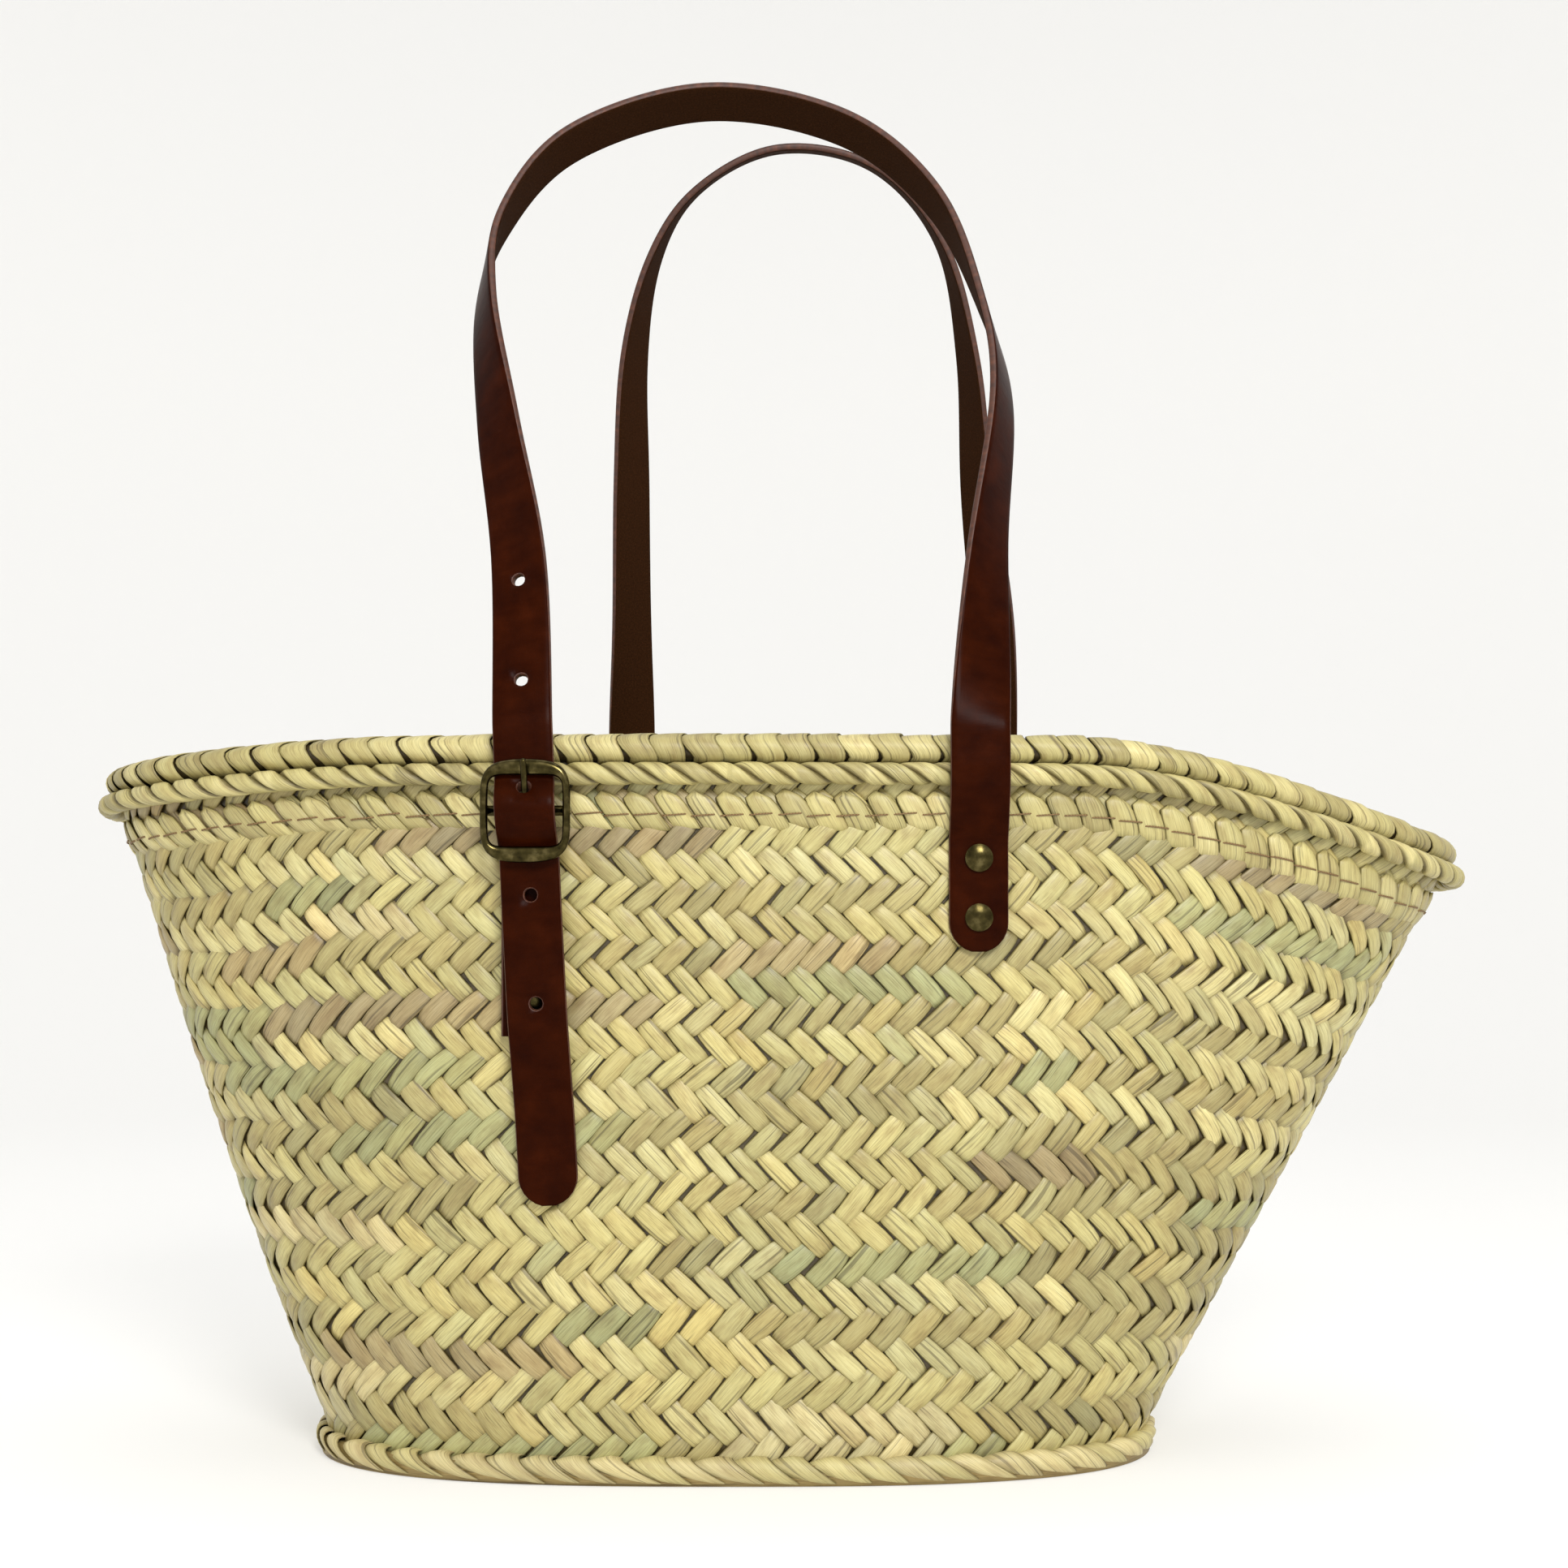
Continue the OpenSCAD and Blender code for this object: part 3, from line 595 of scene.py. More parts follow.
def floor_outline(x, y, margin):
    """Where a point lies in the base's superellipse, margin in from it: 1 on it, less inside."""
    a, b = BASE_L / 2 - margin, BASE_W / 2 - margin
    return (np.abs(x) / a) ** BASE_SQUARE + (np.abs(y) / b) ** BASE_SQUARE


def floor_plait(name, top):
    """Plait of the floor: the same leaves over two, on a straight lattice, pulled in to stay
    3 mm inside the outline. Heights follow 1 - 2.2 * ease((|a| - 0.55) / 0.45)."""
    p = PITCH_LOW
    cols, rows = int(BASE_L / p / 2) + 1, int(BASE_W / p / 2) + 1
    stations = np.linspace(-1, 1, INNER_STATIONS)
    points, uvs, tints = [], [], []
    for row in range(-rows, rows + 1):
        rising = row % 2 == 0
        lean = 1.0 if rising else -1.0
        xs = (np.arange(-cols, cols + 1) + (0 if rising else 0.5)) * p
        xs = xs[floor_outline(xs, row * p, 5.5) < 1]
        count = len(xs)
        if not count:
            continue
        a, b, h = strip_points(stations, INNER_RING)
        x = each(xs) + p * (REACH * a * lean + HALF_WIDE * b)
        y = row * p + p * (REACH * a - lean * HALF_WIDE * b) + 0 * x
        lie = 1 - 2.2 * ease((np.abs(a) - 0.55) / 0.45)
        height = 0.35 * lie - 0.35 + h + rng.normal(0, 0.06, (count, 1, 1))
        z = FLOOR_T + height if top else 0.75 - height
        keep = 1 / np.maximum(1.0, floor_outline(x, y, 3) ** (1 / BASE_SQUARE))
        points.append(np.stack([x * keep, y * keep, z + 0 * x], -1).reshape(-1, 3))
        uvs.append(leaf_grid(count, a * 9, b * FULL_WIDE, 3.1))
        tints.append(painted_crease_shade(leaf_tints(PALE_ROWS, count, rising), stations, INNER_RING))
    points = np.concatenate(points)
    shapes = len(points) // (INNER_STATIONS * len(INNER_RING))
    return piece(name, points, sausage_faces(shapes, INNER_STATIONS, len(INNER_RING)), [PALM],
                 uv=np.concatenate(uvs), tint=np.concatenate(tints))


def floor_core():
    """Dark skin inside the floor's plait, its dark tint painted shade: a flat slab with the base's outline,
    1 mm in.
    """
    n = len(AROUND)
    low = body_point(AROUND, 0.0, -1.0)
    high = low.copy()
    low[:, 2], high[:, 2] = CORE_IN, FLOOR_T - CORE_IN
    pts = np.concatenate([low, high])
    here, after = np.arange(n), (np.arange(n) + 1) % n
    faces = [np.stack([here, after, n + after, n + here], -1), here[::-1][None], (n + here)[None]]
    return piece("floor_core", pts, faces, [PALM], uv=pts[:, :2],
                 tint=np.tile(linear(CORE_SHADE_TINT), (2 * n, 1)), smooth=False)


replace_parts(floor_core(), "basket_floor")
floor_plait("floor_plait_inside", True)
floor_plait("floor_plait_underside", False)


# ---------------------------------------------------------------- rim and hem

def way_round(t, q):
    """Angles and distances once round the body at height share t."""
    u = np.linspace(-90, 270, 2881)
    pts = body_point(u, t, q)
    way = np.concatenate([[0], np.cumsum(np.linalg.norm(np.diff(pts, axis=0), axis=1))])
    return u, way


RIM = way_round(1.0, 2.0)
HEM = way_round(0.0, 4.0)


def angle_at(round_line, s):
    """Angle u at distance s along a line round the body."""
    u, way = round_line
    return np.interp(np.mod(s, way[-1]), way, u)


def wrap_tints(count, names, spread=0.06):
    """A tint per wrap, drawn from the names, each varied in shade by spread."""
    out = np.array([linear(LEAF_TINTS[names[rng.integers(len(names))]]) for _ in range(count)])
    out[:, :3] *= rng.normal(1.0, spread, (count, 1))
    return np.clip(out, 0, 1)


def spaced(round_line, pitch_mm):
    """How many strips fit round a line at about the pitch, and the distance between them."""
    count = int(round(round_line[1][-1] / pitch_mm))
    return count, round_line[1][-1] / count


# Section of a wound strip: (b, height above its edges in mm)
STRIP_RING = [(-1.0, 0.0), (-0.86, 0.34), (-0.3, 0.46), (0.35, 0.46), (0.88, 0.30), (1.0, 0.0),
              (0.0, -0.9)]
ROLL_MID_Q, ROLL_MID_Z = -WALL_T / 2, ROLL_H / 2
ROLL_R = 6.2                # mean radius of the roll
ROLL_OUT, ROLL_UP = 6.5, ROLL_H / 2 - 0.45      # half axes of the strips' oval way round it
CORE_OUT, CORE_UP = 5.7, ROLL_H / 2 - 1.2       # and of its dark core


def roll_wraps():
    """The roll: leaf strips wound side by side over the mouth's edge, from the inside over the
    top to the outside, on an oval. They lean back as they come down, narrow to 84% below on
    the outside, and each lies on the next one."""
    count, step = spaced(RIM, 10.6)
    stations = np.radians(np.linspace(-78, 258, 19))       # angle round the roll's section
    turn, b, h = strip_points(stations, STRIP_RING)
    centre = np.arange(count) * step + rng.normal(0, 0.35, count)
    wide = step / 2 * rng.normal(1.015, 0.04, count)
    lean = rng.normal(7.0, 0.9, count)
    puff = rng.normal(0, 0.16, count)
    down = -np.sin(turn) * 0.5 + 0.5                       # 0 at the top, 1 at the bottom
    narrow = 1 - 0.16 * ease((down - 0.45) / 0.5) * (np.cos(turn) > 0)
    s = each(centre) + each(lean) * (down - 0.5) * np.cos(turn) + each(wide) * narrow * b
    r = 1.0 + (h + 0.35 * b + each(puff)) / ROLL_R
    pts = body_point(angle_at(RIM, s), 1.0, ROLL_MID_Q + ROLL_OUT * np.cos(turn) * r,
                     ROLL_MID_Z + ROLL_UP * np.sin(turn) * r)
    uv = leaf_grid(count, turn * ROLL_R, b * 5.2, 2.7)
    tint = painted_crease_shade(wrap_tints(count, ["straw", "straw", "olive", "light", "olive"]),
                   0 * stations, STRIP_RING)
    return piece("roll_wraps", pts, sausage_faces(count, len(stations), len(STRIP_RING)), [PALM_RIM],
                 uv=uv, tint=tint)


def roll_core():
    """Dark core of the roll, seen in the wedges between its wraps, its dark tint painted shade: an ellipse.
    """
    section = [(1.0, ROLL_MID_Q + CORE_OUT * math.cos(math.radians(a)),
                ROLL_MID_Z + CORE_UP * math.sin(math.radians(a))) for a in range(0, 360, 24)]
    # painted shade in the wedges between the wraps
    return ring_section_piece("roll_core", section, PALM_RIM, "#3d3219")


STRANDS = 2
LAY = 22.0                  # length of cord in which a strand goes once round
CORD_Q = CORD_D / 2 + 0.05
STRAND_R = CORD_D / 2 * 0.82


def cord_strands():
    """Cord of two flat strands round the body: strand k's middle turns about the cord's own line
    by -2 pi (s / lay + k / strands), and its section is an ellipse flat against the cord, which
    swells and thins by sines of s. It is darker in the groove between the strands, as painted shade."""
    way = RIM[1][-1]
    turns = round(way / LAY)
    stations, ring = int(way / 1.6), 12
    s = np.arange(stations) / stations * way
    phi = np.linspace(0, 2 * np.pi, ring, endpoint=False)[None]
    # painted shade in the groove where the two strands meet
    groove = 1 - 0.65 * ease((0.12 - np.cos(phi)) / 0.6)
    points, uvs, tints = [], [], []
    for k in range(STRANDS):
        psi = -2 * np.pi * (s / way * turns + k / STRANDS)[:, None]
        swell = 1 + 0.05 * np.sin(s / 37.0 + k * 2.1)[:, None] + 0.04 * np.sin(s / 11.3 + k)[:, None]
        out = STRAND_R * 0.50 + STRAND_R * 0.68 * np.cos(phi) * swell
        side = STRAND_R * 0.96 * np.sin(phi)
        q = CORD_Q + out * np.cos(psi) - side * np.sin(psi)
        lift = -CORD_DROP + (out * np.sin(psi) + side * np.cos(psi))
        points.append(body_point(angle_at(RIM, s)[:, None], 1.0, q, lift))
        uvs.append(np.stack(np.broadcast_arrays(s[:, None] * 1.25, phi * STRAND_R * 1.1 + 40 * k), -1))
        tone = wrap_tints(turns, ["straw", "light", "straw", "olive"], 0.07)
        tone = tone[np.minimum((s / way * turns).astype(int), turns - 1)][:, None] * np.ones((1, ring, 1))
        tone[..., :3] *= groove[..., None] ** SHADE_TONE
        tints.append(tone.reshape(-1, 4))
    return piece("cord_strands", np.stack(points), sausage_faces(STRANDS, stations, ring, closed=True),
                 [PALM_RIM], uv=np.stack(uvs), tint=np.concatenate(tints))


CORD_FOOT = -CORD_DROP - CORD_D / 2     # the cord's underside, from the wall's top edge
TIP_LENGTH, TIP_LEAN = 13.0, 8.4
SEAM_DROP = 9.44            # the seam under the cord's underside
THREAD_R = 0.30


def below_rim(s, q, lift):
    """Point of the wall's face at distance s round the rim that lies lift above its top edge."""
    u = angle_at(RIM, s)
    return body_point(u, 1 + lift / (rim_height(u) - FLOOR_T), q)


def fold_tips():
    """The wall's folded top edge: one leaf end per leaf, leaning left, with a round top. Here a
    goes from 0 at the top to 1. It bulges by sin(pi a^0.7) and tucks in over its last quarter."""
    count, step = spaced(RIM, 10.4)
    stations = np.linspace(0, 1, 7)
    a, b, h = strip_points(stations, LEAF_RING)
    centre = np.arange(count) * step + rng.normal(0, 0.3, count)
    wide = step / 2 * rng.normal(0.97, 0.05, count)
    round_top = np.sqrt(np.clip(1 - (1 - np.minimum(a / 0.32, 1.0)) ** 2, 0.02, 1))
    s = each(centre) + TIP_LEAN * (a - 0.4) + each(wide) * round_top * b
    lift = CORD_FOOT - 1.6 - TIP_LENGTH * a + rng.normal(0, 0.25, (count, 1, 1)) + 0 * s
    bulge = 0.75 * np.sin(np.pi * np.clip(a, 0, 1) ** 0.7) - 1.3 * ease((a - 0.75) / 0.25)
    pts = below_rim(s, 1.1 + bulge + h + 0.2 * b, lift)
    uv = leaf_grid(count, a * TIP_LENGTH, b * 4.5, 2.3)
    tint = painted_crease_shade(wrap_tints(count, ["straw", "light", "olive", "straw"]), 0 * stations, LEAF_RING)
    return piece("fold_tips", pts, sausage_faces(count, len(stations), len(LEAF_RING)), [PALM],
                 uv=uv, tint=tint)


def seam_stitches():
    """Running seam through the fold: stitches 9.8 long and 10 apart of thread 0.6 thick, whose
    ends dip into the leaf by 1.3 |a|^6."""
    count, step = spaced(RIM, 10.0)
    stations, ring = 9, 6
    a = np.linspace(-1, 1, stations)[None, :, None]
    phi = np.linspace(0, 2 * np.pi, ring, endpoint=False)[None, None]
    centre = each(np.arange(count) * step)
    s = centre + 4.9 * a + 0 * phi
    middle = CORD_FOOT - SEAM_DROP + rng.normal(0, 0.3, (count, 1, 1)) + 0.35 * a
    q = 2.45 - 1.3 * np.abs(a) ** 6 + THREAD_R * np.cos(phi) + 0 * centre
    pts = below_rim(s, q, middle + THREAD_R * np.sin(phi) + 0 * a)
    uv = np.stack(np.broadcast_arrays(s, phi * THREAD_R + 0 * s), -1)
    return piece("seam_stitches", pts, sausage_faces(count, stations, ring), [THREAD], uv=uv,
                 tint=np.tile(linear("#c8aa7c"), (count * stations * ring, 1)))


HEM_MID_Q, HEM_MID_Z = 1.6, HEM_H / 2
HEM_OUT, HEM_UP = 3.9, HEM_H / 2 - 0.55     # half axes of the strips' way round the hem
HEM_R = 5.0                 # mean radius of the hem


def hem_wraps():
    """The hem: broad pale strips wound round the edge on an oval, leaning left, each lying on
    the next. Their upper ends rise to rounded points, 1.3 higher in their middles."""
    count, step = spaced(HEM, 12.2)
    stations = np.radians(np.linspace(-92, 118, 13))
    turn, b, h = strip_points(stations, STRIP_RING)
    centre = np.arange(count) * step + rng.normal(0, 0.6, count)
    wide = step / 2 * rng.normal(1.12, 0.06, count)
    lean = rng.normal(12.5, 1.6, count)
    s = each(centre) - each(lean) * np.sin(turn) / 2 + each(wide) * b
    r = 1 + (h * 1.3 + 0.95 * b + rng.normal(0, 0.16, (count, 1, 1))) / HEM_R
    q = HEM_MID_Q + HEM_OUT * np.cos(turn) * r
    z = HEM_MID_Z + HEM_UP * np.sin(turn) * r
    z = np.maximum(z + 1.3 * (1 - np.abs(b - 0.15)) * ease(np.sin(turn)), 0.02)
    pts = body_point(angle_at(HEM, s), np.clip((z - FLOOR_T) / (WALL_H - FLOOR_T), 0, 1), q)
    pts[..., 2] = z
    uv = leaf_grid(count, np.degrees(turn) * 0.08, b * 6, 2.9)
    # painted shade, deepest here, at the wraps' edges and under them
    tint = painted_crease_shade(wrap_tints(count, ["cream", "cream", "light"], 0.07), 0 * stations, STRIP_RING, 0.85)
    return piece("hem_wraps", pts, sausage_faces(count, len(stations), len(STRIP_RING)), [PALM_PALE],
                 uv=uv, tint=tint)


def hem_core():
    """Core of the hem, closed below on the surface that the basket stands on. Above the floor it
    follows the wall's flare, which is greatest at the ends."""
    section = [(0.3, 0.25), (5.0, 0.25), (5.1, 4.2), (4.0, 6.9), (0.3, 7.2)]
    n, m = len(AROUND), len(section)
    flare = 0.35 * np.abs(np.cos(np.radians(AROUND)))
    pts = np.stack([body_point(AROUND, 0.0, q + max(0.0, z - FLOOR_T) * flare) for q, z in section], 1)
    pts[..., 2] = [z for _, z in section]
    uv = np.stack(np.broadcast_arrays(np.linspace(0, 800, n)[:, None], np.arange(m)[None] * 3.0), -1)
    # its tint, darker than the wraps, is painted shade in the gaps between them
    return piece("hem_core", pts, sausage_faces(1, n, m, closed=True), [PALM_PALE], uv=uv,
                 tint=np.tile(linear("#9c8a5a"), (n * m, 1)))


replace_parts(roll_wraps(), "rim_roll")
roll_core()
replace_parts(cord_strands(), "rim_cord")
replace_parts(fold_tips(), "rim_fold")
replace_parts(seam_stitches(), "rim_seam_thread")
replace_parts(hem_wraps(), "base_hem")
hem_core()


# ---------------------------------------------------------------- leather straps

STRAP_W, STRAP_T = 20.0, 2.8
TIP_R = STRAP_W / 2         # the strap's ends are half circles
HOLE_D, HOLE_PITCH = 4.4, 36.0
PRONG_HOLE_UP = 8.0         # the holes' row, over the buckle's centre bar
PRONG_DROP = 2.0            # the prong's own hole sits lower by this, pulled down by the prong
HOLES = range(-2, 3)        # holes below, at (0) and above the prong
SOFT_GAP = 0.3              # air between soft parts
TILT = math.radians(3.0)    # sideways tilt of the strap where it runs through the buckle
BAR_Q = 9.6                 # the centre bar's distance out of the wall
HUMP_Q = 15.1               # where the strap rides over the bar and the chape
OVER_CORD_Q = CORD_D + SOFT_GAP + STRAP_T / 2
CHAPE_FACE_Q = 4.5          # the chape's outer face
RIVET_CAP = 2.2             # how far a rivet's cap stands out of the chape
CHAPE_W, CHAPE_T = 18.0, 2.0
RIVETS_DOWN = 15            # the riveted end's own height under the centre bar
HINGE_Y = abs(joint_places["front_strap_swing"]["pos_m"][1]) * MM
HINGE_Z = joint_places["front_strap_swing"]["pos_m"][2] * MM
BAR_Z = joint_places["front_buckle_tilt"]["pos_m"][2] * MM

# Way of each strap over the shoulder: [sideways, way up its leaning plane, twist in degrees].
# Both are given as seen from their own side; the back one is turned round by turn -1.
STRAPS = {
    "front": {"turn": 1, "lean": 16.0, "buckle_x": -70.0, "rivet_x": 83.0, "path": [
        [-70, 0, 0], [-74, 60, 12], [-84, 115, 34], [-91, 165, 62], [-86, 200, 84],
        [-62, 235, 90], [-12, 254, 90], [40, 242, 90], [73, 209, 90], [89, 165, 78], [95, 125, 62],
        [88, 65, 40], [83, 0, 0]]},
    "back": {"turn": -1, "lean": 18.0, "buckle_x": -109.0, "rivet_x": 49.0, "path": [
        [-109, 0, 0], [-107, 65, 24], [-99, 128, 50], [-94, 180, 68], [-82, 226, 86],
        [-54, 256, 90], [-15, 263, 90], [18, 247, 90], [36, 220, 80], [45, 180, 60], [47, 128, 44],
        [48, 60, 34], [49, 0, 0]]},
}


def spline(points, steps):
    """Catmull-Rom curve through the points, its ends repeated."""
    p = np.array([points[0]] + list(points) + [points[-1]], float)
    t = (np.arange(steps) / steps)[:, None]
    out = []
    for i in range(1, len(p) - 2):
        a, b, c, d = p[i - 1], p[i], p[i + 1], p[i + 2]
        out.append(0.5 * (2 * b + (c - a) * t + (2 * a - 5 * b + 4 * c - d) * t ** 2
                          + (3 * b - a - 3 * c + d) * t ** 3))
    out.append(p[-2][None])
    return np.concatenate(out)


def unit(vectors):
    """Rows scaled to length 1."""
    return vectors / np.linalg.norm(vectors, axis=1)[:, None]


def way_along(line):
    """Distance along a line of points, from its start."""
    return np.concatenate([[0], np.cumsum(np.linalg.norm(np.diff(line, axis=0), axis=1))])


def near_y(turn, x, z):
    """Half width of the body under the strap's nearer edge."""
    return np.maximum(face_y(turn * (x - STRAP_W / 2), z), face_y(turn * (x + STRAP_W / 2), z))


def bar_x(strap):
    """Where the tilted strap crosses the buckle's centre bar."""
    return strap["buckle_x"] + (HINGE_Z - BAR_Z) * math.tan(TILT)


def side_line(turn, x, points, tilt=0.0):
    """Points [q, z] seen from the side, as places in the strap's own half (front facing -Y)."""
    pts = spline(points, 8)
    xs = x + (BAR_Z - pts[:, 1]) * math.tan(tilt)
    y = -(near_y(turn, xs, pts[:, 1]) + pts[:, 0])
    return np.stack([xs, y, pts[:, 1]], 1)


def fixed_end(strap, x, at_x, below, tilt=0.0):
    """Side line of an end fixed to the basket, from the swing line down. x is where the end
    crosses the swing line, and the line's points are [q, z]."""
    out = HINGE_Y - float(near_y(strap["turn"], x, HINGE_Z))
    return side_line(strap["turn"], at_x, [[out, HINGE_Z], [OVER_CORD_Q, HINGE_Z - 10]] + below, tilt)


def facing_out(line):
    """Face directions of a line that runs down the basket's side: square to it, outwards."""
    t = np.gradient(line, axis=0)
    return unit(np.stack([np.zeros(len(t)), -np.abs(t[:, 2]), np.sign(t[:, 2]) * t[:, 1]], 1))


def strap_line(strap):
    """Middle line of the whole strap with its face directions, from the tail's tip, up through
    the buckle, over the shoulder and down to the riveted end. The arch lies in a plane that
    leans over the mouth, and its face turns by the twist from the plane's front outwards."""
    q = SOFT_GAP + STRAP_T / 2
    over_caps = CHAPE_FACE_Q + RIVET_CAP + SOFT_GAP + STRAP_T / 2
    z0, z1 = BAR_Z, BAR_Z - RIVETS_DOWN
    tail = fixed_end(strap, strap["buckle_x"], bar_x(strap), [
        [OVER_CORD_Q + 0.2, z0 + 12], [HUMP_Q - 3, z0 + 7.4], [HUMP_Q - 0.3, z0 + 3],
        [HUMP_Q - 0.3, z0 - 3], [HUMP_Q - 3.1, z0 - 8], [CHAPE_FACE_Q + 4.5, z0 - 12],
        [CHAPE_FACE_Q + 3.1, z0 - 18], [over_caps, z0 - 32], [over_caps, z0 - 66],
        [over_caps - 2.5, z0 - 80], [q + 0.8, z0 - 98], [q, z0 - 110], [q, z0 - 132]], TILT)
    end = fixed_end(strap, strap["rivet_x"], strap["rivet_x"], [
        [OVER_CORD_Q, WALL_H - CORD_DROP], [OVER_CORD_Q - 1, WALL_H - 9], [q + 3.2, z1 + 11.6],
        [q, z1 + 5.4], [q, z1 - 6], [q, z1 - 32]])
    arch = spline(strap["path"], 14)
    lean = math.radians(strap["lean"])
    mid = np.stack([arch[:, 0], -HINGE_Y + arch[:, 1] * math.sin(lean),
                    HINGE_Z + arch[:, 1] * math.cos(lean)], 1)
    step = np.gradient(arch[:, :2], axis=0)
    step[0], step[-1] = [0, 1], [0, -1]
    step = unit(step)
    twist = np.radians(arch[:, 2])[:, None]
    plane_front = np.array([0.0, -math.cos(lean), -math.sin(lean)])
    outward = np.stack([-step[:, 1], step[:, 0] * math.sin(lean), step[:, 0] * math.cos(lean)], 1)
    arch_face = np.cos(twist) * plane_front[None] + np.sin(twist) * outward
    tail = tail[::-1]
    line = np.concatenate([tail[:-1], mid, end[1:]])
    face = np.concatenate([facing_out(tail)[:-1], arch_face, facing_out(end)[1:]])
    # even the faces and the line out over the bends
    for _ in range(6):
        face[1:-1] = face[1:-1] * 0.5 + (face[:-2] + face[2:]) * 0.25
        face = unit(face)
    for _ in range(3):
        line[1:-1] = line[1:-1] * 0.6 + (line[:-2] + line[2:]) * 0.2
    return line, face


def strap_frame(line, face, at):
    """Middle, width direction and face direction at distances along the line."""
    way = way_along(line)

    def look_up(values, places):
        return np.stack([np.interp(places, way, values[:, k]) for k in range(3)], 1)

    t = unit(look_up(line, at + 0.8) - look_up(line, at - 0.8))
    n = look_up(face, at)
    n -= (n * t).sum(1)[:, None] * t
    n = unit(n)
    return look_up(line, at), np.cross(t, n), n


def turned(points, turn):
    """Half a turn about Z for the back."""
    return points * np.array([turn, turn, 1.0])


ROW_STEP = 2.6              # longest step between rows of points along the strap
END_ROWS = [0.35, 1.2, 2.6, 4.6, 7.0, 10.0]             # rows closer together at the round ends
COLUMNS = np.array([-10, -9.72, -9.1, -7.5, -5, -2.5, 0, 2.5, 5, 7.5, 9.1, 9.72, 10.0])
EDGE_DROP = np.array([0.75, 0.3, 0.04, 0, 0, 0, 0, 0, 0, 0, 0.04, 0.3, 0.75])     # rounded edges
HOLE_COLUMN = 4             # the square round a hole starts at the column of -5
DOME = 0.12                 # how far the leather is crowned across
RIM_POINTS = 16
# Rings of points down a hole: (share of half the thickness, wider by), from the grain side
HOLE_RINGS = ((1, 0.35), (0.72, 0.0), (-0.72, 0.0), (-1, 0.2))
HOLE_SLOTS = (ON_GRAIN, ON_EDGE, ON_EDGE, ON_EDGE, ON_FLESH)


def strap_rows(total, holes):
    """Distances of the strap's rows of points: fixed ones at its ends and round its holes, and
    others evenly between them."""
    fixed = END_ROWS + [total - r for r in END_ROWS]
    for s, _ in holes:
        fixed += [s + k * 2.5 for k in range(-2, 3)]
    fixed = np.array(sorted(fixed))
    rows = [fixed[0]]
    for a, b in zip(fixed[:-1], fixed[1:]):
        parts = max(1, int(math.ceil((b - a) / ROW_STEP)))
        rows += list(a + (b - a) * np.arange(1, parts + 1) / parts)
    return np.array(rows)


